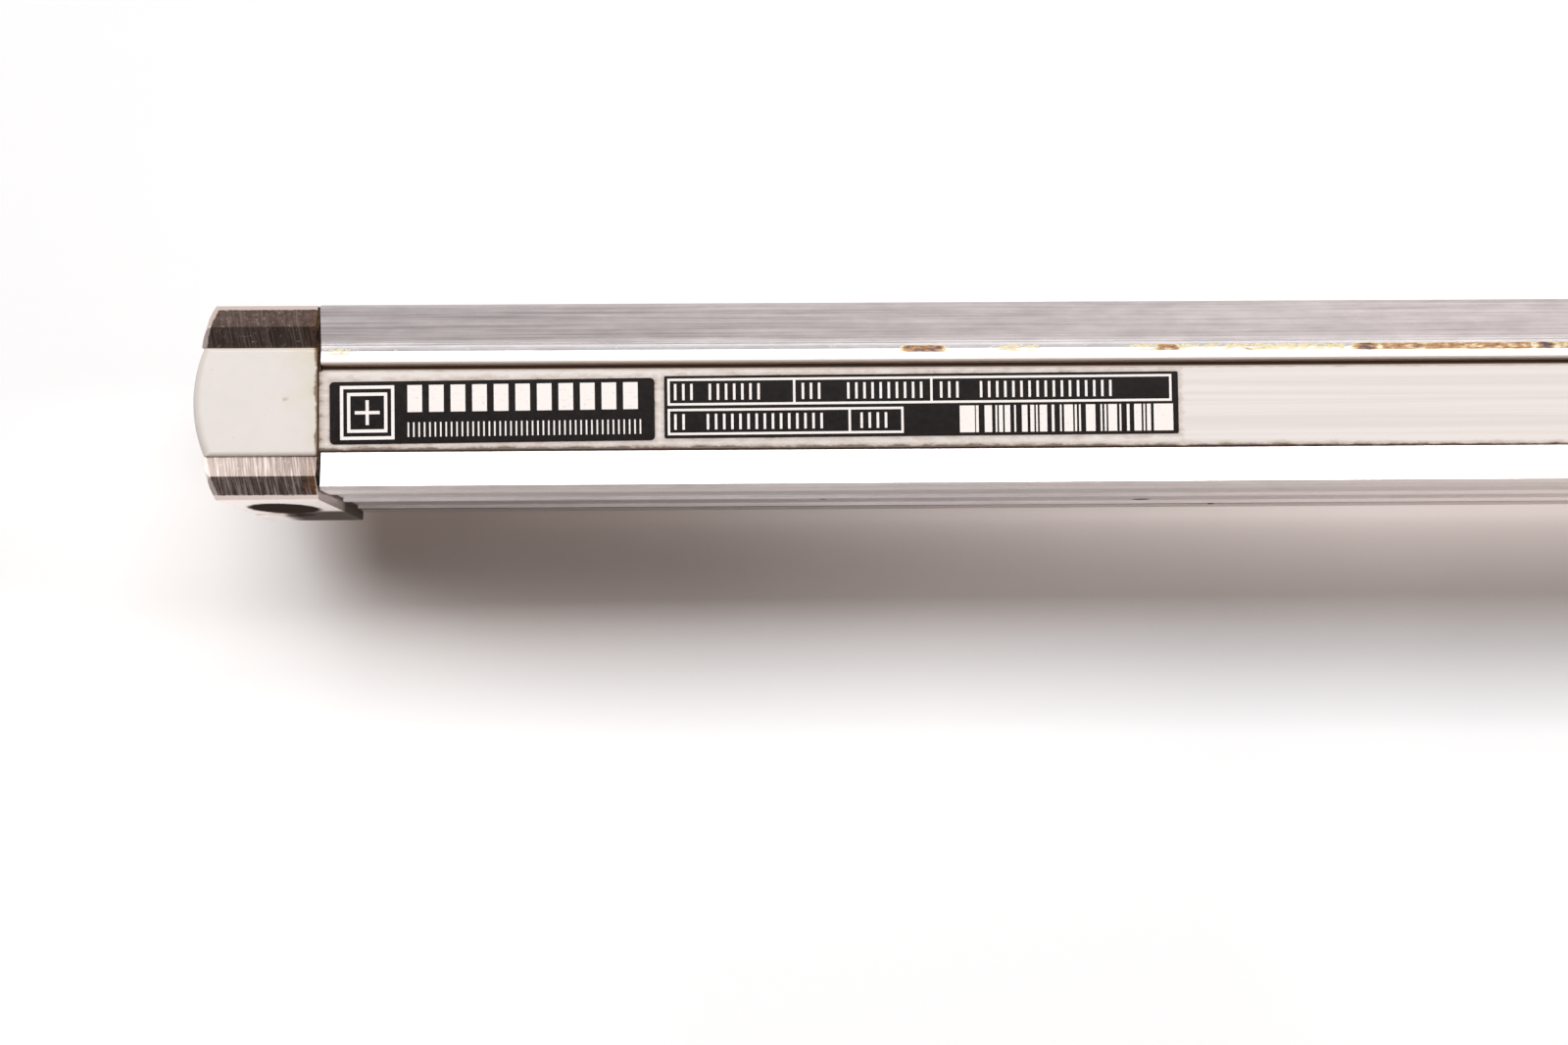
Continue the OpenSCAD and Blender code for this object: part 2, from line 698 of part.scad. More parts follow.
module carriage() {
  color("darkgray") in_housing() difference() {
    union() {
      span([-carriage_l / 2, sensor_y0, carriage_z], [carriage_l / 2, sensor_y1, limb_top_z]);
      span([-carriage_l / 2, lamp_y0, carriage_z], [carriage_l / 2, sensor_y0 + cut, bridge_top_z]);
      span([-lamp_limb_l / 2, lamp_y0, carriage_z], [lamp_limb_l / 2, lamp_y1, lamp_limb_top]);
    }
    each_roller() roller_room();
    each_roller() cylinder(d = pin_d, h = roller_w + 2 * ear_t + 2 * roller_play, center = true);
    // upper corners of the sensor limb are cut back beside the top roller
    for (s = [-1, 1])
      span([s < 0 ? -carriage_l / 2 - cut : 11, sensor_y0 - cut, low_roller_z + roller_w / 2 + 4],
           [s < 0 ? -11 : carriage_l / 2 + cut, sensor_y1 + cut, limb_top_z + cut]);
    // seat of the reticle and the window behind it
    translate([-reticle_l / 2 - skin, sensor_y0 - cut, optic_z - reticle_h / 2 - skin])
      cube([reticle_l + 2 * skin, cut + reticle_t - limb_gap + reticle_gap, reticle_h + 2 * skin]);
    translate([-reticle_l / 2 + window_rim, sensor_y0 - cut, optic_z - reticle_h / 2 + window_rim])
      cube([reticle_l - 2 * window_rim, sensor_y1 - sensor_y0 + 2 * cut, reticle_h - 2 * window_rim]);
    // seat of the sensor board, with room for the ribbons behind it
    span([-board_l / 2 - skin, board_y, board_z0 - skin],
         [board_l / 2 + skin, sensor_y1 + cut, board_z1 + skin]);
    for (x = [signal_x, lamp_ribbon_x])
      span([x - fit, board_y + board_t - fit, carriage_z - cut],
           [x + ribbon_w + fit, sensor_y1 + cut, board_z0 + cut]);
    // lens and lamp
    translate([0, lamp_y1 - lens_t, optic_z]) rotate([-90, 0, 0])
      cylinder(d = lens_d + 2 * skin, h = lens_t + cut);
    translate([0, lamp_y0 - cut, optic_z]) rotate([-90, 0, 0])
      cylinder(d = lens_d - 1.6, h = lamp_limb_t + 2 * cut);
    span([-lamp_limb_l / 2 - cut, lamp_y0 - cut, carriage_z + 1.5],
         [lamp_limb_l / 2 + cut, lamp_y0 + lamp_rebate, lamp_limb_top + cut]);
    span([lamp_ribbon_x - fit, lamp_y0 - cut, carriage_z - cut],
         [lamp_ribbon_x + ribbon_w + fit, lamp_y0 + lamp_rebate, carriage_z + 2]);
  }
}

// Glass plate with the scanning windows, a quarter millimetre from the graduation.
module scanning_reticle() {
  color("paleturquoise") in_housing()
    translate([-reticle_l / 2, glass_y1 + reticle_gap, optic_z - reticle_h / 2])
      cube([reticle_l, reticle_t, reticle_h]);
}

module sensor_board() {
  color("darkgreen") in_housing() {
    span([-board_l / 2, board_y, board_z0], [board_l / 2, board_y + board_t, board_z1]);
    span([-chip_l / 2, board_y - chip_t, optic_z - chip_h / 2],
         [chip_l / 2, board_y, optic_z + chip_h / 2]);
  }
}

// Plano-convex lens, flat towards the lamp.
module condenser_lens() {
  sag = 0.7;
  r = lens_d / 2;
  ball = (r * r + sag * sag) / (2 * sag);
  color("paleturquoise") in_housing()
    translate([0, lamp_y1 - lens_t, optic_z]) rotate([-90, 0, 0])
      intersection() {
        cylinder(r = r, h = lens_t);
        translate([0, 0, lens_t - ball]) sphere(r = ball);
      }
}

module lamp_board() {
  color("darkgreen") in_housing() {
    span([lamp_ribbon_x, lamp_y0 + lamp_rebate - lamp_board_t, carriage_z + 2.2],
         [10, lamp_y0 + lamp_rebate, lamp_limb_top - 0.3]);
    translate([0, lamp_y0 + lamp_rebate, optic_z]) rotate([-90, 0, 0])
      cylinder(d = 2.4, h = lamp_limb_t - lamp_rebate - lens_t - 0.05);
  }
}

// From the lamp board down, under the bridge and up to the sensor board.
module lamp_ribbon() {
  y0 = lamp_y0 + lamp_rebate - lamp_board_t - ribbon_t;
  y1 = board_y + board_t;
  z0 = carriage_z - ribbon_t - skin;
  color("orange") in_housing() {
    span([lamp_ribbon_x, y0, z0], [lamp_ribbon_x + ribbon_w, y0 + ribbon_t, carriage_z + 4]);
    span([lamp_ribbon_x, y0, z0], [lamp_ribbon_x + ribbon_w, y1 + ribbon_t, z0 + ribbon_t]);
    span([lamp_ribbon_x, y1, z0], [lamp_ribbon_x + ribbon_w, y1 + ribbon_t, board_z0 + 3]);
  }
}

// From the sensor board down, along the blade and onto the interface board.
module signal_ribbon() {
  y0 = blade_t / 2 - ribbon_t - 0.05;
  y1 = board_y + board_t;
  z0 = carriage_z - ribbon_t - skin;
  board_top = main_board_z + main_board_t - housing_z;
  color("orange") in_housing() {
    span([signal_x, y1, z0], [signal_x + ribbon_w, y1 + ribbon_t, board_z0 + 3]);
    span([signal_x, y0, z0], [signal_x + ribbon_w, y1 + ribbon_t, z0 + ribbon_t]);
    span([signal_x, y0, board_top], [signal_x + ribbon_w, y0 + ribbon_t, z0 + ribbon_t]);
  }
}

// Axle pins, each with the bearing's inner ring as its thick middle.
module roller_pins() {
  color("gainsboro") in_housing() each_roller() {
    cylinder(d = pin_d, h = roller_w + 2 * ear_t + 2 * roller_play, center = true);
    cylinder(d = inner_ring_d, h = roller_w, center = true);
  }
}

// Outer ring of a guide bearing.
module roller() {
  r = roller_d / 2;
  h = roller_w / 2;
  c = roller_chamfer;
  rotate_extrude()
    polygon([[inner_ring_d / 2 + running_fit, -h], [r - c, -h], [r, -h + c],
      [r, h - c], [r - c, h], [inner_ring_d / 2 + running_fit, h]]);
}

module face_roller_left() {
  color("white") in_housing() at_face_roller(-face_roller_x, low_roller_z) roller();
}

module face_roller_right() {
  color("white") in_housing() at_face_roller(face_roller_x, low_roller_z) roller();
}

module face_roller_top() {
  color("white") in_housing() at_face_roller(0, high_roller_z) roller();
}

module edge_roller_left() {
  color("white") in_housing() at_edge_roller(-edge_roller_x) roller();
}

module edge_roller_right() {
  color("white") in_housing() at_edge_roller(edge_roller_x) roller();
}

// ---------------------------------------------------------------- coupling

// Arched leaf: its feet lie on the coupling plate and its crown carries the carriage.
module coupling_spring() {
  foot = coupling_l / 2;
  crown = crown_l / 2;
  ramp = crown + 2.5;
  right = [[foot, 0], [foot, spring_t], [ramp, spring_t], [crown, spring_t + spring_rise]];
  left = [for (i = [3 : -1 : 0]) [-right[i][0], right[i][1]]];
  under = [[-ramp, 0], [-crown, spring_rise], [crown, spring_rise], [ramp, 0]];
  color("lightsteelblue") in_housing() difference() {
    translate([0, coupling_w / 2 - 0.3, spring_z]) rotate([90, 0, 0])
      linear_extrude(coupling_w - 0.6) polygon(concat(right, left, under));
    for (s = [-1, 1]) translate([s * rivet_x, 0, spring_z - cut])
      cylinder(d = rivet_d + 2 * skin, h = 3 * cut);
  }
}

module coupling_rivets() {
  color("gainsboro") in_housing()
    for (s = [-1, 1]) translate([s * rivet_x, 0, coupling_z]) {
      cylinder(d = rivet_d, h = coupling_t + spring_t);
      translate([0, 0, coupling_t + spring_t]) cylinder(d = rivet_head_d, h = rivet_head_h);
    }
}

module coupling_plate() {
  color("lightslategray") in_housing() difference() {
    span([-coupling_l / 2 - 1, -coupling_w / 2, coupling_z],
         [coupling_l / 2 + 1, coupling_w / 2, spring_z]);
    for (s = [-1, 1]) translate([s * rivet_x, 0, coupling_z - cut])
      cylinder(d = rivet_d + 2 * skin, h = coupling_t + 2 * cut);
  }
}

// Blade that is pointed at both ends, so that it parts the lips, on a foot inside the block.
module blade() {
  top = housing_z + coupling_z;
  flat = blade_flat / 2;
  tip = blade_l / 2;
  color("slategray") translate([0, housing_y, 0]) difference() {
    union() {
      translate([0, 0, pocket_z]) linear_extrude(top - pocket_z)
        polygon([[tip, -tip_t / 2], [tip, tip_t / 2], [flat, blade_t / 2], [-flat, blade_t / 2],
          [-tip, tip_t / 2], [-tip, -tip_t / 2], [-flat, -blade_t / 2], [flat, -blade_t / 2]]);
      span([-foot_l / 2, -foot_w / 2, pocket_z - foot_t], [foot_l / 2, foot_w / 2, pocket_z]);
    }
    span([foot_l / 2, -blade_t, pocket_z - cut], [blade_l, blade_t, block_h + air_gap / 2]);
    span([-blade_l, -blade_t, pocket_z - cut], [-foot_l / 2, blade_t, block_h + air_gap / 2]);
    span([signal_x - fit, blade_t / 2 - ribbon_t - fit, 0],
         [signal_x + ribbon_w + fit, blade_t / 2 + fit, top + cut]);
    for (x = [-1, 1]) translate([x * (foot_l / 2 - 3), -foot_w / 2 + 1.3, 0])
      cylinder(d = 1.6 + 2 * skin, h = block_h);
  }
}

module blade_screws() {
  color("gray") translate([0, housing_y, 0])
    for (x = [-1, 1])
      translate([x * (foot_l / 2 - 3), -foot_w / 2 + 1.3, pocket_z - foot_t]) rotate([180, 0, 0])
        socket_screw(1.6, foot_t + block_top_wall - 0.3, 2.6, 1);
}

// ---------------------------------------------------------------- mounting block

module mounting_block() {
  x = block_l / 2;
  y = block_w / 2;
  color("silver") difference() {
    // body with chamfered long edges
    along_x(block_l)
      polygon([[-y + edge, 0], [y - edge, 0], [y, edge], [y, block_h - edge],
        [y - edge, block_h], [-y + edge, block_h], [-y, block_h - edge], [-y, edge]]);
    // screw holes along Y, with the heads sunk on the far side
    for (s = [-1, 1]) translate([s * block_hole_x, 0, block_h / 2]) rotate([90, 0, 0]) {
      cylinder(d = mount_d, h = block_w + 2 * cut, center = true);
      translate([0, 0, counterbore_depth - y - block_w]) cylinder(d = counterbore_d, h = block_w);
    }
    // pocket of the interface board, its ledge and the seat of the cover
    span([-pocket_l / 2, -pocket_w / 2 + ledge, cover_recess],
         [pocket_l / 2, pocket_w / 2 - ledge, pocket_z]);
    span([-pocket_l / 2, -pocket_w / 2, cover_recess],
         [pocket_l / 2, pocket_w / 2, main_board_z + main_board_t]);
    span([-cover_l / 2, -cover_w / 2, -cut], [cover_l / 2, cover_w / 2, cover_recess + cover_t]);
    for (sx = [-1, 1], sy = [-1, 1]) translate([sx * cover_screw_x, sy * cover_screw_y, 0])
      cylinder(d = cover_screw_d + 2 * skin, h = cover_t + 3);
    // slot of the blade and threads of its screws
    span([-foot_l / 2 - fit, housing_y - blade_t / 2 - fit, pocket_z - cut],
         [foot_l / 2 + fit, housing_y + blade_t / 2 + fit, block_h + cut]);
    for (sx = [-1, 1])
      translate([sx * (foot_l / 2 - 3), housing_y - foot_w / 2 + 1.3, pocket_z - cut])
        cylinder(d = 1.6 + 2 * skin, h = block_top_wall + cut - 0.2);
    // connector socket and the way of its wire
    span([x - socket_depth, -socket_w / 2, socket_z - socket_h / 2],
         [x + cut, socket_w / 2, socket_z + socket_h / 2]);
    translate([pocket_l / 2 - cut, wire_y, wire_z]) rotate([0, 90, 0])
      cylinder(d = wire_d + 2 * fit, h = x - socket_depth - pocket_l / 2 + 2 * cut);
  }
}

module interface_board() {
  color("darkgreen") {
    span([-pocket_l / 2 + fit, -pocket_w / 2 + fit, main_board_z],
         [pocket_l / 2 - fit, pocket_w / 2 - fit, main_board_z + main_board_t]);
    for (i = [0 : 2])
      translate([ic_first_x + i * ic_pitch - ic_size / 2, -ic_size / 2, main_board_z + main_board_t])
        cube([ic_size, ic_size, ic_t]);
  }
}

module block_cover() {
  color("silver") difference() {
    span([-cover_l / 2 + fit, -cover_w / 2 + fit, cover_recess],
         [cover_l / 2 - fit, cover_w / 2 - fit, cover_recess + cover_t]);
    for (sx = [-1, 1], sy = [-1, 1])
      translate([sx * cover_screw_x, sy * cover_screw_y, cover_recess])
        cylinder(r1 = cover_screw_d + fit, r2 = cover_screw_d / 2 + fit, h = cover_t + skin);
  }
}

module cover_screws() {
  color("gray")
    for (sx = [-1, 1], sy = [-1, 1])
      translate([sx * cover_screw_x, sy * cover_screw_y, cover_recess]) difference() {
        union() {
          cylinder(r1 = cover_screw_d, r2 = cover_screw_d / 2, h = cover_t);
          cylinder(d = cover_screw_d, h = cover_t + 2.4);
        }
        translate([0, 0, -skin]) cylinder(d = cover_screw_d * 0.8, h = 0.6, $fn = 6);
      }
}

// Contact insert at the bottom of the socket: two rows of seven contacts.
module connector_insert() {
  x0 = block_l / 2 - socket_depth;
  pitch = 1.27;
  color("black") difference() {
    span([x0, -socket_w / 2 + 1, socket_z - socket_h / 2 + 1],
         [x0 + insert_t, socket_w / 2 - 1, socket_z + socket_h / 2 - 1]);
    for (row = [-1, 1], i = [-3 : 3])
      translate([x0 + insert_t / 2, i * pitch, socket_z + row * pitch]) rotate([0, 90, 0])
        cylinder(d = 0.7, h = insert_t);
  }
}

module connector_gasket() {
  x0 = block_l / 2 - socket_depth;
  color("dimgray") difference() {
    span([x0, -socket_w / 2 + skin, socket_z - socket_h / 2 + skin],
         [x0 + 0.8, socket_w / 2 - skin, socket_z + socket_h / 2 - skin]);
    span([x0 - cut, -socket_w / 2 + 1 - skin, socket_z - socket_h / 2 + 1 - skin],
         [x0 + cut, socket_w / 2 - 1 + skin, socket_z + socket_h / 2 - 1 + skin]);
  }
}

module connector_wire() {
  color("black") translate([pocket_l / 2 - 2, wire_y, wire_z]) rotate([0, 90, 0])
    cylinder(d = wire_d, h = block_l / 2 - socket_depth - pocket_l / 2 + 2);
}

// ---------------------------------------------------------------- assembly

housing_extrusion();
cover_strip();
plate_short();
plate_long();
glass_scale();
graduation();
reference_marks();
scale_bond();
lip_front();
lip_back();
end_block_left();
end_block_right();
end_cap_left();
end_cap_right();
end_gasket_left();
end_gasket_right();
end_screws_left();
end_screws_right();
air_plug_left();
air_plug_right();
carriage();
scanning_reticle();
sensor_board();
condenser_lens();
lamp_board();
lamp_ribbon();
signal_ribbon();
roller_pins();
coupling_spring();
coupling_rivets();
coupling_plate();
blade();
blade_screws();
mounting_block();
interface_board();
block_cover();
cover_screws();
connector_insert();
connector_gasket();
connector_wire();
face_roller_left();
face_roller_right();
face_roller_top();
edge_roller_left();
edge_roller_right();
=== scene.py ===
import bmesh
import bpy
import numpy as np
from mathutils import Euler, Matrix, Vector


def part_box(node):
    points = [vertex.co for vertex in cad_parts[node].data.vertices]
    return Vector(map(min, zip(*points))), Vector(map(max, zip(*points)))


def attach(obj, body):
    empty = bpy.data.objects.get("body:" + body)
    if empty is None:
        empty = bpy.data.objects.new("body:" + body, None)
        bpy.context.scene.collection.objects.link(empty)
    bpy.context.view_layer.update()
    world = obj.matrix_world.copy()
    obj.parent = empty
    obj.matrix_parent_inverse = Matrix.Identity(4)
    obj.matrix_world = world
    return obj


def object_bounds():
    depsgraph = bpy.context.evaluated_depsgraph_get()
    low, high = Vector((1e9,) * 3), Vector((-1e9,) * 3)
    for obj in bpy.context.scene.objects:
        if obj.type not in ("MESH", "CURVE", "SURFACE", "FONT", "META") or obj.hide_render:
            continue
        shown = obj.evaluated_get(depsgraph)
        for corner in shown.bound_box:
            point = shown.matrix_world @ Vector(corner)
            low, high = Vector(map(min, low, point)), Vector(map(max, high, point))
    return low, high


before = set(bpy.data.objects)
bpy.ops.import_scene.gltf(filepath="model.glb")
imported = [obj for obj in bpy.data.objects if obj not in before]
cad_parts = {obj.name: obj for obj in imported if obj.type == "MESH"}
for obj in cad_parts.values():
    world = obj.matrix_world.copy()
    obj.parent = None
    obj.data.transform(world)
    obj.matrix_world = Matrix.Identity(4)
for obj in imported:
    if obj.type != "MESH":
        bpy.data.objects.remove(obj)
cad_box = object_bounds()

# ------------------------------------ camera
# A camera held a quarter of a metre above the left end of the unit, looking almost straight
# down at the labelled face, with the mounting side just in view below it.
MM = 0.001
HOUSING_LOW, HOUSING_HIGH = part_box("housing_extrusion")
LENS_MM = 62.84
ABOVE_LABEL = 251.2 * MM  # lens to the labelled face
RIGHT_OF_END = 37.4 * MM  # lens to the left end of the extrusion
BEFORE_MIDDLE = 26.6 * MM  # lens out from the middle, to the mounting side
LOOK = [3.4556, -1.1469, -0.4628]  # turn about X, Y and Z in degrees, from straight down

camera = bpy.data.objects.new("camera", bpy.data.cameras.new("camera"))
camera.data.lens = LENS_MM
camera.data.clip_start, camera.data.clip_end = 0.01, 20.0
camera.location = (HOUSING_LOW.x + RIGHT_OF_END, -BEFORE_MIDDLE, HOUSING_HIGH.z + ABOVE_LABEL)
camera.rotation_euler = Euler(np.radians(LOOK))
bpy.context.scene.collection.objects.link(camera)
bpy.context.scene.camera = camera
bpy.context.scene.view_settings.view_transform = "Standard"


# ------------------------------------ light
# A long softbox stands over the far side, and a pale room gives the rest. The room is darker
# behind the camera, so metal that leans to the near side goes dark and the other side shines.
SOFTBOX_SIZE = (1.5, 0.30)
SOFTBOX_DISTANCE = 1.05
SOFTBOX_LEAN = 18.0  # degrees from straight above, to the far side
SOFTBOX_POWER = 12.2
SOFTBOX_TINT = "f9fdff"
ROOM_WARMTH = "ffe6dc"  # of the light that reaches matt surfaces
MIRROR_WARMTH = "fff8f6"  # of what shiny surfaces show
ROOM_LEVEL = 0.13
BACKDROP_LEVEL = 0.9  # the lit backdrop behind the bar, low on the far side
DARK_SIDE = Vector((-0.10, -0.62, 0.77))  # way to the dark patch behind the camera
DARK_LEVEL = 0.06
CEILING_LEVEL = 0.78
CEILING_RISE = 1.0  # the ceiling is brighter toward the middle of the bar
CEILING_LIMITS = (0.4, 1.0)
HORIZON_LEVEL = 0.85
HORIZON_TO_CEILING = (0.25, 0.75)  # heights on the sky, where straight up is 1
DARK_PATCH = (0.89, 0.99)  # cosines of the angles at which it starts and is full
BACKDROP = (0.65, 0.85)  # the same toward the far side


def linear(colour):
    """An sRGB hex colour as linear RGBA: each channel by the sRGB curve."""
    srgb = np.array([int(colour[i : i + 2], 16) for i in (0, 2, 4)]) / 255
    channels = np.where(srgb > 0.04045, ((srgb + 0.055) / 1.055) ** 2.4, srgb / 12.92)
    return (*(float(c) for c in channels), 1.0)


def add(tree, kind, inputs=(), **settings):
    """Adds a shader node and returns its first output in use; that socket's .node is the node.

    Settings are its properties. Inputs are values, hex colours or links, by socket name in a
    dict, or in the order of the sockets in use in a tuple.
    """
    node = tree.nodes.new("ShaderNode" + kind)
    for name, value in settings.items():
        setattr(node, name, value)
    if isinstance(inputs, dict):
        pairs = [(node.inputs[name], value) for name, value in inputs.items()]
    else:
        pairs = zip([socket for socket in node.inputs if socket.enabled], inputs)
    for socket, value in pairs:
        if isinstance(value, bpy.types.NodeSocket):
            tree.links.new(value, socket)
        else:
            socket.default_value = linear(value) if isinstance(value, str) else value
    return next((socket for socket in node.outputs if socket.enabled), None)


def studio_room():
    """World light: a pale horizon under a dimmer ceiling, with a dark patch behind the camera."""
    world = bpy.data.worlds.new("room")
    world.use_nodes = True
    tree = world.node_tree
    tree.nodes.clear()
    way = add(tree, "TexCoord").node.outputs["Generated"]
    axes = add(tree, "SeparateXYZ", (way,)).node.outputs
    above = add(tree, "Math", (axes["X"], CEILING_RISE, CEILING_LEVEL), operation="MULTIPLY_ADD")
    above = add(tree, "Clamp", (above, *CEILING_LIMITS))
    ceiling = add(tree, "MapRange", (axes["Z"], *HORIZON_TO_CEILING, HORIZON_LEVEL, above),
                  interpolation_type="SMOOTHSTEP")
    toward = add(tree, "VectorMath", (way, DARK_SIDE), operation="DOT_PRODUCT")
    shade = add(tree, "MapRange", (toward, *DARK_PATCH, 0.0, 1.0), interpolation_type="SMOOTHSTEP")
    seen = add(tree, "Mix", (shade, ceiling, DARK_LEVEL))
    ray = add(tree, "LightPath").node.outputs
    mirrored = add(tree, "Math", (ray["Is Glossy Ray"], ray["Is Transmission Ray"]), operation="MAXIMUM")
    backdrop = add(tree, "MapRange", (axes["Y"], *BACKDROP, ROOM_LEVEL, BACKDROP_LEVEL),
                   interpolation_type="SMOOTHSTEP")
    level = add(tree, "Mix", (mirrored, backdrop, seen))
    level = add(tree, "Mix", (ray["Is Camera Ray"], level, 1.0))
    warm = add(tree, "Mix", (mirrored, ROOM_WARMTH, MIRROR_WARMTH), data_type="RGBA")
    warm = add(tree, "Mix", (ray["Is Camera Ray"], warm, "ffffff"), data_type="RGBA")
    add(tree, "OutputWorld", (add(tree, "Background", (warm, level)),))
    bpy.context.scene.world = world


def softbox():
    """The key light: a long area lamp along the bar, leaning to the far side."""
    lamp = bpy.data.lights.new("softbox", "AREA")
    lamp.shape = "RECTANGLE"
    lamp.size, lamp.size_y = SOFTBOX_SIZE
    lamp.energy = SOFTBOX_POWER
    lamp.color = linear(SOFTBOX_TINT)[:3]
    lean = np.radians(SOFTBOX_LEAN)
    stand = bpy.data.objects.new("softbox", lamp)
    stand.location = (HOUSING_LOW.x, SOFTBOX_DISTANCE * np.sin(lean), SOFTBOX_DISTANCE * np.cos(lean))
    stand.rotation_euler = (-lean, 0.0, 0.0)
    bpy.context.scene.collection.objects.link(stand)


studio_room()
softbox()


# ------------------------------------ table
# A plain sheet of white card, far wider than the view. It holds the soft shadow of the bar and
# is a little warm where it only gets light from the room.
# Round the bar the card's seen colour carries painted light and a painted shadow.
TABLE_HALF = 1.6
TABLE_GAP = 0.02 * MM
TABLE_WHITE, PAINTED_SHADOW_BROWN = "ffffff", "cfc6c0"
TABLE_BOUNCE, TABLE_GLOW_TINT = "e4deda", "fff2ec"  # of the light it throws back, and of its painted light
# painted light lifts the card: from and to in X, from the left end of the housing, and how much
TABLE_MIDDLE = (35 * MM, 110 * MM, 0.0, 0.145)  # more toward the middle of the bar
TABLE_BY_BAR = (8 * MM, 106 * MM, 0.04, 0.34)  # beside the bar: painted light for the light thrown back by its side
TABLE_OPEN = (-6 * MM, 90 * MM, 0.21, 0.0)  # farther out, less toward the middle
TABLE_ASIDE = (-38 * MM, -9 * MM, 9 * MM)  # past the end block: from, to and fade in X
ASIDE_REACH = (-9 * MM, 10.5 * MM, 6 * MM)  # and how far out from the near side
ASIDE_LIFT = 0.23
TABLE_DUSK = (60 * MM, 118 * MM, 0.0, -0.13)  # painted shadow: the shadow reaches out more toward the middle
DUSK_REACH = (9 * MM, 27 * MM, 5 * MM)
BY_BAR_FADE = 2.7 * MM
TABLE_CLOSE = (25 * MM, 75 * MM, 1.0, 0.0)  # painted shadow, browner where the bar comes closest to the card
CLOSE_FADE = 8 * MM
BAR_STARTS = (HOUSING_LOW.x - 11 * MM, HOUSING_LOW.x - MM)  # what the bar does fades in here
BAR_ENDS = (HOUSING_HIGH.x - 11 * MM, HOUSING_HIGH.x + 11 * MM)  # and out here
OPEN_RISE = (4 * MM, 16 * MM)  # the open card brightens from and to, out in Y
TABLE_FAR, FAR_GLOW = (0.3, 1.0), 0.7  # far from the bar the card is lit to white
CARD_FIBRE = 1.2 * MM  # coarser than real fibres, so that it shows


def surface(name, inputs):
    """A new material with one Principled shader: returns it, its tree, the shader and Object coords."""
    material = bpy.data.materials.new(name)
    material.use_nodes = True
    tree = material.node_tree
    tree.nodes.clear()
    shader = add(tree, "BsdfPrincipled", inputs).node
    add(tree, "OutputMaterial", {"Surface": shader.outputs[0]})
    return material, tree, shader, add(tree, "TexCoord").node.outputs["Object"]


def grain(tree, place, size, detail=2.0, rough=0.5):
    """Noise about 0.5 whose grains have one size in metres, or one each along X, Y and Z."""
    scaled = add(tree, "Mapping", {"Location": (3.1, 5.3, 7.7), "Vector": place,
                                   "Scale": 1 / np.broadcast_to(size, 3)})
    return add(tree, "TexNoise", {"Vector": scaled, "Scale": 1.0, "Detail": detail, "Roughness": rough})


def band(tree, value, low, high, soft):
    """1 where value lies between low and high, with edges that fade over soft."""
    rise = add(tree, "MapRange", (value, low - soft, low + soft, 0.0, 1.0))
    fall = add(tree, "MapRange", (value, high - soft, high + soft, 1.0, 0.0))
    return add(tree, "Math", (rise, fall), operation="MULTIPLY")


def feed(tree, shader, values, relief=None, strength=0.0, depth=0.0):
    """Links values to the shader's sockets by name, and a relief to its normal through a bump."""
    if relief is not None:
        bump = {"Height": relief, "Strength": strength, "Distance": depth}
        values["Normal"] = add(tree, "Bump", bump)
    for socket, value in values.items():
        tree.links.new(value, shader.inputs[socket])


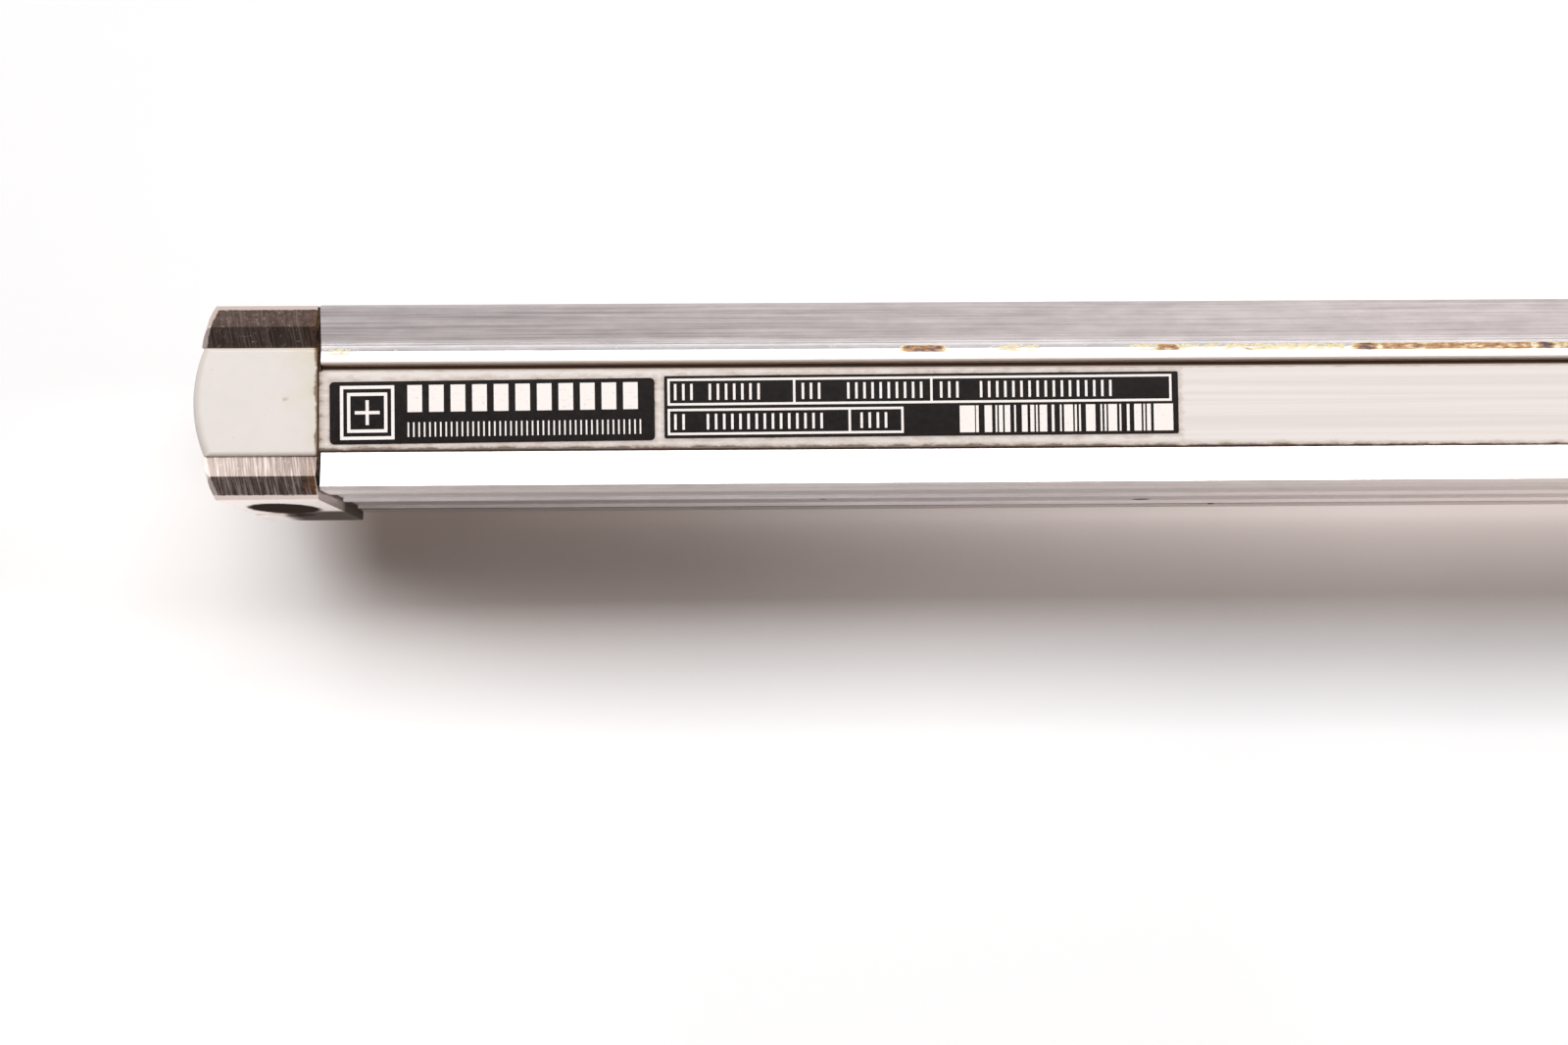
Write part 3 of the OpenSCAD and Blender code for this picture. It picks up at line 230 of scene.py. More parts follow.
def white_card():
    """White card: bright where it is seen, a little darker and warm for the light it throws back; painted
    light and a painted shadow lie round the bar.
    """
    material, tree, shader, place = surface("white_card", {"Roughness": 0.75})
    ray = add(tree, "LightPath").node.outputs
    seen = add(tree, "Math", (ray["Is Camera Ray"], ray["Is Glossy Ray"]), operation="MAXIMUM")
    seen = add(tree, "Math", (seen, ray["Is Transmission Ray"]), operation="MAXIMUM")
    axes = add(tree, "SeparateXYZ", (place,)).node.outputs
    middle, by_bar, open_card, close, dusk = (
        add(tree, "MapRange", (axes["X"], HOUSING_LOW.x + start, HOUSING_LOW.x + end, low, high))
        for start, end, low, high in (TABLE_MIDDLE, TABLE_BY_BAR, TABLE_OPEN, TABLE_CLOSE, TABLE_DUSK))
    away = add(tree, "Math", (HOUSING_LOW.y, axes["Y"]), operation="SUBTRACT")
    near_side = add(tree, "Math", (away, HOUSING_LOW.y), operation="GREATER_THAN")
    beside = add(tree, "MapRange", (axes["X"], *BAR_STARTS, 0.0, near_side),
                 interpolation_type="SMOOTHSTEP")
    beyond = add(tree, "MapRange", (axes["X"], *BAR_ENDS, beside, 0.0))
    fades = []
    for reach in (BY_BAR_FADE, CLOSE_FADE):
        fade = add(tree, "Math", (away, -1 / reach), operation="MULTIPLY")
        fade = add(tree, "Math", (fade, 0.0), operation="MINIMUM")
        fade = add(tree, "Math", (fade,), operation="EXPONENT")
        fades.append(add(tree, "Math", (fade, beyond), operation="MULTIPLY"))
    # painted shadow: the card browner close to the bar, toward the left end
    close = add(tree, "Math", (close, fades[1]), operation="MULTIPLY")
    white = add(tree, "Mix", (close, TABLE_WHITE, PAINTED_SHADOW_BROWN), data_type="RGBA")
    colour = add(tree, "Mix", (seen, TABLE_BOUNCE, white), data_type="RGBA")
    rise = add(tree, "MapRange", (away, *OPEN_RISE, 0.0, 1.0), interpolation_type="SMOOTHSTEP")
    # painted light on the card: beside the bar, toward the middle, on the open card and past the end block
    glow = add(tree, "Math", (by_bar, fades[0], middle), operation="MULTIPLY_ADD")
    glow = add(tree, "Math", (open_card, rise, glow), operation="MULTIPLY_ADD")
    from_left = add(tree, "Math", (axes["X"], HOUSING_LOW.x), operation="SUBTRACT")
    aside = add(tree, "Math", (band(tree, from_left, *TABLE_ASIDE), ASIDE_LIFT), operation="MULTIPLY")
    # painted shadow: less glow where the shadow reaches out toward the middle
    dusk = add(tree, "Math", (dusk, beyond), operation="MULTIPLY")
    for amount, reach in ((aside, ASIDE_REACH), (dusk, DUSK_REACH)):
        glow = add(tree, "Math", (amount, band(tree, away, *reach), glow), operation="MULTIPLY_ADD")
    glow = add(tree, "Math", (glow, seen), operation="MULTIPLY")
    far = add(tree, "VectorMath", (place,), operation="LENGTH")
    far = add(tree, "MapRange", (far, *TABLE_FAR, 0.0, 1.0))
    tint = add(tree, "Mix", (far, TABLE_GLOW_TINT, TABLE_WHITE), data_type="RGBA")
    far = add(tree, "Math", (far, FAR_GLOW), operation="MULTIPLY")
    glow = add(tree, "Math", (far, ray["Is Camera Ray"], glow), operation="MULTIPLY_ADD")
    fibres = grain(tree, place, CARD_FIBRE, detail=3.0)
    feed(tree, shader, {"Base Color": colour, "Emission Color": tint, "Emission Strength": glow},
         relief=fibres, strength=0.05, depth=0.1 * MM)
    return material


def new_piece(name, points, faces, material):
    """One mesh object in the scene, from arrays of points and of four-cornered faces."""
    mesh = bpy.data.meshes.new(name)
    mesh.from_pydata(points.reshape(-1, 3).tolist(), [], faces.reshape(-1, 4).tolist())
    mesh.materials.append(material)
    piece = bpy.data.objects.new(name, mesh)
    bpy.context.scene.collection.objects.link(piece)
    return piece


def grid_mesh(name, x, y, z, material):
    """One object from three equal 2-D arrays of points, with a face in each cell of the grid."""
    rows, columns = x.shape
    corner = np.arange(rows * columns).reshape(rows, columns)
    faces = np.stack([corner[:-1, :-1], corner[1:, :-1], corner[1:, 1:], corner[:-1, 1:]], axis=-1)
    return new_piece(name, np.stack([x, y, z], axis=-1), faces, material)


across = np.linspace(-TABLE_HALF, TABLE_HALF, 5)
table_x, table_y = np.meshgrid(across, across, indexing="ij")
table_z = np.full_like(table_x, cad_box[0].z - TABLE_GAP)
grid_mesh("table", table_x, table_y, table_z, white_card())


# ------------------------------------ housing extrusion
# The case of the scale: one aluminium extrusion with two sloped shoulders, pressed through a die
# and anodised. The die leaves fine lines along it, and coolant has dried brown in the cove.
ALUMINIUM_DARK, ALUMINIUM_LIGHT = "b0a9a9", "dad3d3"
DIE_LINE = 0.07 * MM  # spacing of the drawn lines
CRUST_PALE, CRUST_BROWN, CRUST_BURNT = "f0e2b8", "b8824f", "452f35"
CRUST_MIDDLE = 4.62 * MM  # where coolant stood in the cove, in Y
CRUST_TAPER = (0.26 * MM, 0.50 * MM)
COVE_FOOT = (4.66 * MM, 5.45 * MM)  # painted shade at the foot of the cove, in Y
COVE_SHADE_LEVEL = 0.24  # painted shade: of the metal's own brightness at the low end
# dried coolant: from and to in mm from the left end of the housing, and how thick it is
CRUSTS = [(0.5, 3.0, 0.34), (53.6, 57.7, 0.86), (62.2, 66.3, 0.38), (74.4, 83.4, 0.34), (77.1, 79.4, 0.80),
          (83.4, 95.2, 0.40), (95.6, 98.0, 0.92), (98.0, 112.6, 0.74), (112.6, 114.6, 0.92),
          (114.6, 170.0, 0.70), (170.0, 240.0, 0.40)]
EDGE_HIGHLIGHT = (41.5 * MM, 45.4 * MM)  # painted highlight at the top of the near side, in Z
EDGE_BRIGHT = "e9ded9"
REFLECTED_ALONG = (HOUSING_LOW.x + 58 * MM, HOUSING_LOW.x + 120 * MM)  # painted reflection: near side brighter toward the middle
REFLECTED_LEVEL = 0.85
# marks on the near side: X from the left end, Z, length and width in mm, and turn in degrees
SIDE_MARKS = [(46.9, 25.0, 0.5, 1.6, 30.0), (79.2, 21.9, 2.0, 2.0, 0.0), (86.8, 18.7, 0.7, 1.4, 0.0)]
MARK_DARK = "43372f"
MARK_DEPTH = 1.5 * MM  # how far in from the near side a mark still colours the metal
LOW_SHADE_HEIGHT = (29 * MM, 31 * MM)  # below this the near side is darkened by painted shade, fading along X
LOW_SHADE_ALONG = (HOUSING_LOW.x, HOUSING_LOW.x + 62 * MM)
SLOT = (3.03 * MM, 3.38 * MM)  # painted black shadow in the slot between the strip and the bead, in Y
SLOT_SHADE = (2.6 * MM, 3.64 * MM)  # painted brown shade over the slot and the edge of the bead
# The first brown is real dirt on the cover strip and painted shade on the extrusion; the tan is painted
# shade.
GRIME_AND_SHADE, GRIME_LIGHT, SHADE_TAN = "49341f", "b09784", "dac8ba"


def die_lines(tree, place):
    """Tone and relief of a drawn surface: fine lines and broad streaks along X, and clouds."""
    lines = grain(tree, place, (22 * MM, DIE_LINE, DIE_LINE), detail=2.0, rough=0.6)
    streaks = grain(tree, place, (60 * MM, 0.5 * MM, 0.5 * MM), detail=2.0)
    clouds = grain(tree, place, (4.5 * MM, 1.2 * MM, 1.2 * MM), detail=5.0, rough=0.7)
    tone = add(tree, "Math", (streaks, 0.3, lines), operation="MULTIPLY_ADD")
    tone = add(tree, "Math", (clouds, 0.9, tone), operation="MULTIPLY_ADD")
    tone = add(tree, "MapRange", (tone, 0.75, 1.45, 0.0, 1.0))
    return tone, lines


def dried_coolant(tree, place):
    """How thick the crust in the cove is, from 0 to nearly 2, from the list of its stretches."""
    axes = add(tree, "SeparateXYZ", (place,)).node.outputs
    thick = None
    for start, end, level in CRUSTS:
        stretch = band(tree, axes["X"], HOUSING_LOW.x + start * MM, HOUSING_LOW.x + end * MM, 0.5 * MM)
        stretch = add(tree, "Math", (stretch, level), operation="MULTIPLY")
        thick = stretch if thick is None else add(tree, "Math", (thick, stretch), operation="MAXIMUM")
    patches = grain(tree, place, (1.1 * MM, 0.35 * MM, 0.35 * MM), detail=5.0, rough=0.75)
    thick = add(tree, "Math", (patches, 2.0, thick), operation="MULTIPLY_ADD")
    thick = add(tree, "Math", (thick, 0.5), operation="SUBTRACT")
    aside = add(tree, "Math", (axes["Y"], CRUST_MIDDLE), operation="SUBTRACT")
    aside = add(tree, "Math", (aside,), operation="ABSOLUTE")
    in_cove = add(tree, "MapRange", (aside, *CRUST_TAPER, 1.0, 0.0))
    near_top = add(tree, "Math", (axes["Z"], HOUSING_HIGH.z - 2 * MM), operation="GREATER_THAN")
    in_cove = add(tree, "Math", (in_cove, near_top), operation="MULTIPLY")
    return add(tree, "Math", (thick, in_cove), operation="MULTIPLY")


def side_marks(tree, place):
    """Dark small chips of the near side, each an ellipse: 0.8 in its middle."""
    marked = None
    for x, z, length, width, turn in SIDE_MARKS:
        flat = add(tree, "Mapping", {
            "Vector": place, "Location": (HOUSING_LOW.x + x * MM, HOUSING_LOW.y, z * MM),
            "Rotation": (0, np.radians(-turn), 0),
            "Scale": (length / 2 * MM, MARK_DEPTH, width / 2 * MM)}, vector_type="TEXTURE")
        reach = add(tree, "VectorMath", (flat,), operation="LENGTH")
        mark = add(tree, "MapRange", (reach, 0.7, 1.2, 0.8, 0.0))
        marked = mark if marked is None else add(tree, "Math", (marked, mark), operation="MAXIMUM")
    return marked


def cove_shade(tree, axes):
    """Painted shade: what the metal keeps of its brightness, less at the foot of the cove, all below it.
    """
    foot = add(tree, "MapRange", (axes["Y"], *COVE_FOOT, 0.0, 1.0))
    foot = add(tree, "Math", (foot, 3.5), operation="POWER")
    foot = add(tree, "MapRange", (foot, 0.0, 1.0, COVE_SHADE_LEVEL, 1.0))
    ends = (COVE_FOOT[0] - 0.1 * MM, COVE_FOOT[0] + 0.08 * MM)
    below = add(tree, "MapRange", (axes["Y"], *ends, 1.0, 0.0))
    return add(tree, "Math", (foot, below), operation="MAXIMUM")


def near_side_light(tree, axes):
    """Painted light and shade on the near side: a painted highlight along its top, a painted reflection
    brighter toward the middle, and painted shade low down toward the left end.
    """
    near_side = add(tree, "Math", (axes["Y"], HOUSING_LOW.y + 0.6 * MM), operation="LESS_THAN")
    highlight_and_reflection = band(tree, axes["Z"], *EDGE_HIGHLIGHT, 0.4 * MM)
    reflected = add(tree, "MapRange", (axes["X"], *REFLECTED_ALONG, 0.0, REFLECTED_LEVEL))
    highlight_and_reflection = add(tree, "Math", (highlight_and_reflection, reflected), operation="MAXIMUM")
    low = add(tree, "MapRange", (axes["Z"], *LOW_SHADE_HEIGHT, 1.0, 0.0))
    painted_low_shade = add(tree, "MapRange", (axes["X"], *LOW_SHADE_ALONG, 0.55, 0.0))
    painted_low_shade = add(tree, "Math", (painted_low_shade, low), operation="MULTIPLY")
    return [add(tree, "Math", (level, near_side), operation="MULTIPLY") for level in (highlight_and_reflection, painted_low_shade)]


def slot_painted_shade(tree, axes):
    """Painted shade, brown over the slot and the edge of the bead, and a painted black shadow in the slot.
    """
    near_top = add(tree, "Math", (axes["Z"], HOUSING_HIGH.z - 3 * MM), operation="GREATER_THAN")
    film_and_shade = band(tree, axes["Y"], *SLOT_SHADE, 0.15 * MM)
    film_and_shade = add(tree, "Math", (film_and_shade, near_top), operation="MULTIPLY")
    dirt_and_shadow = band(tree, axes["Y"], *SLOT, 0.04 * MM)
    return film_and_shade, add(tree, "Math", (dirt_and_shadow, film_and_shade), operation="MULTIPLY")


def drawn_aluminium():
    """Anodised extrusion with drawn lines and dried coolant in the cove; painted shade in the cove and the
    slot, and painted light and shade on the near side.
    """
    material, tree, shader, place = surface("drawn_aluminium", {"Anisotropic": 0.35})
    axes = add(tree, "SeparateXYZ", (place,)).node.outputs
    tone, lines = die_lines(tree, place)
    metal = add(tree, "Mix", (tone, ALUMINIUM_DARK, ALUMINIUM_LIGHT), data_type="RGBA")
    # painted shade at the foot of the cove
    shade = cove_shade(tree, axes)
    colour = add(tree, "Mix", (1.0, metal, shade), data_type="RGBA", blend_type="MULTIPLY")
    thick = dried_coolant(tree, place)
    crust = add(tree, "MapRange", (thick, 0.74, 0.86, 0.0, 0.9))
    brown = add(tree, "MapRange", (thick, 0.98, 1.22, 0.0, 1.0))
    burnt = add(tree, "MapRange", (thick, 1.32, 1.5, 0.0, 1.0))
    stain = add(tree, "Mix", (brown, CRUST_PALE, CRUST_BROWN), data_type="RGBA")
    stain = add(tree, "Mix", (burnt, stain, CRUST_BURNT), data_type="RGBA")
    highlight_and_reflection, painted_low_shade = near_side_light(tree, axes)
    marks = side_marks(tree, place)
    film_and_shade, dirt_and_shadow = slot_painted_shade(tree, axes)
    # painted highlight and reflection, painted shade low on the near side, real marks and crust, then
    # painted shade and shadow at the slot
    for level, over in ((highlight_and_reflection, EDGE_BRIGHT), (painted_low_shade, GRIME_AND_SHADE), (marks, MARK_DARK), (crust, stain),
                        (film_and_shade, SHADE_TAN), (dirt_and_shadow, GRIME_AND_SHADE)):
        colour = add(tree, "Mix", (level, colour, over), data_type="RGBA")
    cover = add(tree, "Math", (crust, film_and_shade), operation="MAXIMUM")
    cover = add(tree, "Math", (cover, marks), operation="MAXIMUM")
    matt = add(tree, "MapRange", (marks, 0.0, 0.6, 0.5, 0.0))
    bare = add(tree, "MapRange", (cover, 0.0, 0.6, 1.0, 0.05))
    gloss = add(tree, "MapRange", (lines, 0.3, 0.7, 0.24, 0.36))
    gloss = add(tree, "Mix", (cover, gloss, 0.6))
    relief = add(tree, "Mix", (cover, lines, thick))
    around_x = add(tree, "Tangent", direction_type="RADIAL", axis="X")
    feed(tree, shader, {"Base Color": colour, "Metallic": bare, "Roughness": gloss, "Tangent": around_x,
                        "Specular IOR Level": matt}, relief, strength=0.2, depth=0.01 * MM)
    return material


def finish(material, *nodes):
    """Gives CAD nodes their material."""
    for node in nodes:
        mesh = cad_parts[node].data
        mesh.materials.clear()
        mesh.materials.append(material)


finish(drawn_aluminium(), "housing_extrusion")


# ------------------------------------ cover strip
# An extruded strip of cream rigid PVC that clips in between the near shoulder and the bead. It
# shows faint lengthwise streaks, and oily dirt lies along its edges and round the plates on it.
CREAM, CREAM_GREY = "e8dfd9", "ddd4ce"
PLATES = {"plate_short": (29.9 * MM, 0.44), "plate_long": (47.6 * MM, 0.22)}  # length, turn in degrees
PLATE_HEIGHT = 5.75 * MM
STRIP_LOW, STRIP_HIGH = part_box("cover_strip")
NEAR_DIRT = (STRIP_LOW.y + 0.1 * MM, STRIP_LOW.y + 0.75 * MM)  # it fades from and to, in Y
FAR_DIRT = (STRIP_HIGH.y - 0.35 * MM, STRIP_HIGH.y - 0.05 * MM)
END_DIRT = (STRIP_LOW.x + 0.1 * MM, STRIP_LOW.x + 2.0 * MM)  # the same in X
WIPED = (STRIP_LOW.x + 60 * MM, STRIP_LOW.x + 130 * MM)  # the near edge is cleaner beyond
PLATE_DIRT = (0.05 * MM, 0.9 * MM)


def beside_plate(tree, place, node):
    """How far a point lies outside a plate's outline, in metres: the larger of both overshoots."""
    length, turn = PLATES[node]
    low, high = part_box(node)
    middle = (low + high) / 2
    flat = add(tree, "Mapping", {"Vector": place, "Location": middle,
                                 "Rotation": (0, 0, np.radians(turn))}, vector_type="TEXTURE")
    axes = add(tree, "SeparateXYZ", (flat,)).node.outputs
    over = []
    for axis, half in (("X", length / 2), ("Y", PLATE_HEIGHT / 2)):
        size = add(tree, "Math", (axes[axis],), operation="ABSOLUTE")
        over.append(add(tree, "Math", (size, half), operation="SUBTRACT"))
    return add(tree, "Math", (over[0], over[1]), operation="MAXIMUM")


def cream_pvc():
    """Cream extruded PVC with faint streaks; grime near both long edges and near the plates."""
    material, tree, shader, place = surface("cream_pvc", {"Roughness": 0.42, "IOR": 1.53})
    along = add(tree, "SeparateXYZ", (place,)).node.outputs
    streaks = grain(tree, place, (60 * MM, 0.5 * MM, 0.5 * MM), detail=3.0)
    pale = add(tree, "MapRange", (streaks, 0.38, 0.62, 0.0, 1.0))
    cream = add(tree, "Mix", (pale, CREAM_GREY, CREAM), data_type="RGBA")
    blotch = grain(tree, place, (1.6 * MM, 0.7 * MM, 0.7 * MM), detail=5.0, rough=0.7)
    near = add(tree, "MapRange", (along["Y"], *NEAR_DIRT, 0.74, -0.1))
    wiped = add(tree, "MapRange", (along["X"], *WIPED, 0.0, -0.34))
    near = add(tree, "Math", (near, wiped), operation="ADD")
    far = add(tree, "MapRange", (along["Y"], *FAR_DIRT, -0.3, 0.25))
    end = add(tree, "MapRange", (along["X"], *END_DIRT, 0.40, -0.3))
    round_plates = [add(tree, "MapRange", (beside_plate(tree, place, node), *PLATE_DIRT, 0.34, -0.15))
                    for node in PLATES]
    dirt_and_shadow = near
    for level in (far, end, *round_plates):
        dirt_and_shadow = add(tree, "Math", (dirt_and_shadow, level), operation="MAXIMUM")
    dirt_and_shadow = add(tree, "Math", (dirt_and_shadow, blotch), operation="ADD")
    film_and_shade = add(tree, "MapRange", (dirt_and_shadow, 0.55, 0.95, 0.0, 0.75))
    packed = add(tree, "MapRange", (dirt_and_shadow, 0.90, 1.12, 0.0, 0.95))
    colour = add(tree, "Mix", (film_and_shade, cream, GRIME_LIGHT), data_type="RGBA")
    colour = add(tree, "Mix", (packed, colour, GRIME_AND_SHADE), data_type="RGBA")
    feed(tree, shader, {"Base Color": colour}, streaks, strength=0.2, depth=0.02 * MM)
    return material


finish(cream_pvc(), "cover_strip")


# ------------------------------------ identification plates
# Two black foil plates with a satin lacquer, stuck on the strip a little askew. Their print is
# plain: a datum mark and a divided scale on one, cells with ticks and a striped panel on the other.
FOIL_BLACK, FOIL_GREY = "120c0b", "1b1413"
PRINT_WHITE, PRINT_WORN = "faf1ec", "d9cdc5"
PRINT_THICKNESS = 0.015 * MM


def mottled(name, inputs, dark, light, size, roughness, spread=0.08, rough=0.65, strength=0.3,
            depth=0.01 * MM):
    """A plain finish: one noise clouds its colour, its roughness by the spread, and its relief."""
    material, tree, shader, place = surface(name, inputs)
    clouds = grain(tree, place, size, detail=4.0, rough=rough)
    colour = add(tree, "Mix", (clouds, dark, light), data_type="RGBA")
    gloss = add(tree, "MapRange", (clouds, 0.3, 0.7, roughness - spread, roughness + spread))
    feed(tree, shader, {"Base Color": colour, "Roughness": gloss}, clouds if strength else None,
         strength, depth)
    return material


def screen_print():
    """White screen print, slightly yellowed and thin where it has been wiped."""
    material, tree, shader, place = surface("screen_print", {"Roughness": 0.5})
    wear = grain(tree, place, (0.5 * MM, 0.3 * MM, 0.3 * MM), detail=4.0, rough=0.7)
    worn_and_lit = add(tree, "MapRange", (wear, 0.58, 0.72, 0.0, 0.8))
    colour = add(tree, "Mix", (worn_and_lit, PRINT_WHITE, PRINT_WORN), data_type="RGBA")
    feed(tree, shader, {"Base Color": colour})
    return material


def frame_bars(x0, y0, x1, y1, line):
    """The four bars of a rectangular frame, each as (x0, y0, x1, y1)."""
    return [(x0, y0, x1, y0 + line), (x0, y1 - line, x1, y1),
            (x0, y0 + line, x0 + line, y1 - line), (x1 - line, y0 + line, x1, y1 - line)]


def row_of_bars(x0, y0, y1, widths, gaps):
    """Upright bars side by side, each by its width and the gap after it."""
    starts = x0 + np.concatenate([[0], np.cumsum(np.add(widths, gaps))[:-1]])
    return [(x, y0, x + w, y1) for x, w in zip(starts, widths)]


def printed(name, node, bars, material):
    """Flat bars on a plate, each a thin box; the corners are turned with the plate.

    Bars are in mm, along from the left end of the plate and up from its middle line.
    """
    length, turn = PLATES[node][0], np.radians(PLATES[node][1])
    low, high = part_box(node)
    middle = (low + high) / 2
    bars = np.array(bars) * MM - (length / 2, 0, length / 2, 0)
    rise = high.z + np.array([0.0, PRINT_THICKNESS])
    pick = np.array([[0, 1], [2, 1], [2, 3], [0, 3]])
    flat = bars[:, pick]  # bars, corners, (x, y)
    x = middle.x + flat[..., 0] * np.cos(turn) - flat[..., 1] * np.sin(turn)
    y = middle.y + flat[..., 0] * np.sin(turn) + flat[..., 1] * np.cos(turn)
    points = np.stack([np.concatenate([x, x], 1), np.concatenate([y, y], 1),
                       np.repeat(np.tile(rise, (len(bars), 1)), 4, axis=1)], axis=-1)
    box = np.array([[3, 2, 1, 0], [4, 5, 6, 7], [0, 1, 5, 4], [1, 2, 6, 5], [2, 3, 7, 6], [3, 0, 4, 7]])
    faces = box[None] + 8 * np.arange(len(bars))[:, None, None]
    piece = new_piece(name, points, faces, material)
    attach(piece, "housing")


def short_plate_print():
    """Datum cross in a double square at the left, a bold divided scale and fine graduations."""
    line, outer, inner, arm = 0.30, 2.5, 1.85, 1.15  # the last three are half sizes
    centre = 0.95 + outer
    start, end = centre + outer + 1.2, PLATES["plate_short"][0] / MM - 0.9
    divisions, bold_low, bold_high = 11, 0.0, PLATE_HEIGHT / MM / 2 - 0.38
    ticks, fine_low, fine_high, fine = 44, -2.3, -0.95, 0.14
    bars = [bar for half in (outer, inner)
            for bar in frame_bars(centre - half, -half, centre + half, half, line)]
    bars += [(centre - line / 2, -arm, centre + line / 2, arm),
             (centre - arm, -line / 2, centre - line / 2, line / 2),
             (centre + line / 2, -line / 2, centre + arm, line / 2)]
    pitch = (end - start) / divisions
    bold = 0.68 * pitch
    bars += row_of_bars(start, bold_low, bold_high, [bold] * divisions, [pitch - bold] * divisions)
    pitch = (end - start) / ticks
    return bars + row_of_bars(start, fine_low, fine_high, [fine] * ticks, [pitch - fine] * ticks)


def long_plate_print():
    """Framed cells in two rows with groups of ticks, and a white panel with black stripes."""
    line, tick, tick_gap, inset = 0.22, 0.23, 0.52, 0.5
    low_row, high_row = (-2.62, -0.18), (0.12, 2.62)
    low_groups = ((0.9, 2), (3.9, 15), (18.1, 4))  # start of each group, and its ticks
    high_groups = ((0.9, 3), (4.1, 7), (12.7, 3), (16.9, 10), (25.5, 3), (29.2, 17))
    bars = []
    for (low, high), end, dividers, groups in ((high_row, 47.0, (11.9, 24.6), high_groups),
                                               (low_row, 22.1, (17.0,), low_groups)):
        bars += frame_bars(0.3, low, end, high, line)
        bars += [(x, low + line, x + line, high - line) for x in dividers]
        for start, count in groups:
            bars += row_of_bars(start, low + inset, high - inset, [tick] * count, [tick_gap] * count)
    # white stripes between black ones, whose widths swell and shrink in a plain rhythm
    step = np.arange(24)
    stripe = 0.14 + 0.62 * ((1 + np.sin(step * 2.2)) / 2) ** 3
    space = 0.14 + 0.34 * ((1 + np.cos(step * 1.3)) / 2) ** 2
    (panel_low, panel_high), start, end = (-2.62, -0.13), 28.8, 45.3
    scale = (end - start) / (stripe + space).sum()
    bars += [(27.3, panel_low, start - 0.1, panel_high), (end, panel_low, 47.1, panel_high)]
    return bars + row_of_bars(start, panel_low, panel_high, stripe * scale, space * scale)


foil = mottled("black_foil", {"IOR": 1.2}, FOIL_BLACK, FOIL_GREY, 0.6 * MM, 0.20, spread=0.04, rough=0.7,
               strength=0.0)
finish(foil, *PLATES)
ink = screen_print()
printed("print_short", "plate_short", short_plate_print(), ink)
printed("print_long", "plate_long", long_plate_print(), ink)


# ------------------------------------ end blocks
# Die-cast zinc blocks with a ridge along each flank. The cast skin is dark; grinding and handling
# have bared the rims, the inner slope of the mounting side and many fine scratches. That slope is
# paler still as painted light, the far flank's inner slope darker as painted shade.
CAST_DARK, CAST_PAINTED_SHADE, CAST_SCRATCH = "6c5c56", "544640", "b5aaa3"
CAST_BARE_AND_LIT, CAST_WORN_AND_LIT = "e9dcd6", "b6a69e"
CAST_RUST, CAST_ROSY = "9c6a3a", "d9c9c2"
HANDLED = "fdf5f0"  # the near side, polished by handling
BLOCK_LOW, BLOCK_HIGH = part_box("end_block_left")
END_JOINT = -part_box("end_gasket_left")[0].x
END_RADIUS = 24 * MM
GRINDING_LEAN = -9  # degrees from straight across
RIM_WIDTH, RIM_RAGGED = 0.42 * MM, 0.15 * MM
RIDGE = 6.9 * MM  # from the middle to the ridge of each flank
CAP_SEAT = 5.05 * MM  # from the middle to the edge of the cap's seat
RIDGE_SOFT = 0.06 * MM
RUST_REACH = 2.4 * MM  # how far rust creeps from the joint
# colour of the painted shade and shadow on the near side of the end block
SHADE_DARK = "33251e"
HOLE_X = -BLOCK_LOW.x - 6.2 * MM
HOLE_Z = BLOCK_LOW.z + 19 * MM  # middle of the painted shade over and round the mounting hole
HOLE_SHADE = (3.3 * MM, 7.2 * MM)  # half its width and height
# painted shadow of the lower corner fades along X from the joint, and along Z from the foot of the block
SHADED_CORNER = {"X": (5.6 * MM, 7.2 * MM), "Z": (13 * MM, 16 * MM)}
CORNER_LEVEL = 0.85


def ground_marks(tree, place, near):
    """Wear of the cast skin: scratches, scuffs, and how bright both leave it, more where near is."""
    lean = add(tree, "Mapping", {"Vector": place, "Rotation": (0, 0, np.radians(GRINDING_LEAN))})
    scratches = grain(tree, lean, (0.11 * MM, 3.5 * MM, 3.5 * MM), detail=3.0, rough=0.6)
    gouges = grain(tree, lean, (0.30 * MM, 5 * MM, 5 * MM), detail=2.0)
    scuffs = grain(tree, place, (0.45 * MM, 0.35 * MM, 0.35 * MM), detail=5.0, rough=0.75)
    ground = add(tree, "MapRange", (scratches, 0.48, 0.72, 0.0, 0.9))
    gouged = add(tree, "MapRange", (gouges, 0.57, 0.68, 0.0, 1.0))
    ground = add(tree, "Math", (ground, gouged), operation="MAXIMUM")
    ground = add(tree, "Math", (ground, near), operation="MULTIPLY")
    knocked = add(tree, "MapRange", (scuffs, 0.57, 0.68, 0.0, 0.8))
    return scratches, scuffs, add(tree, "Math", (ground, knocked), operation="MAXIMUM")


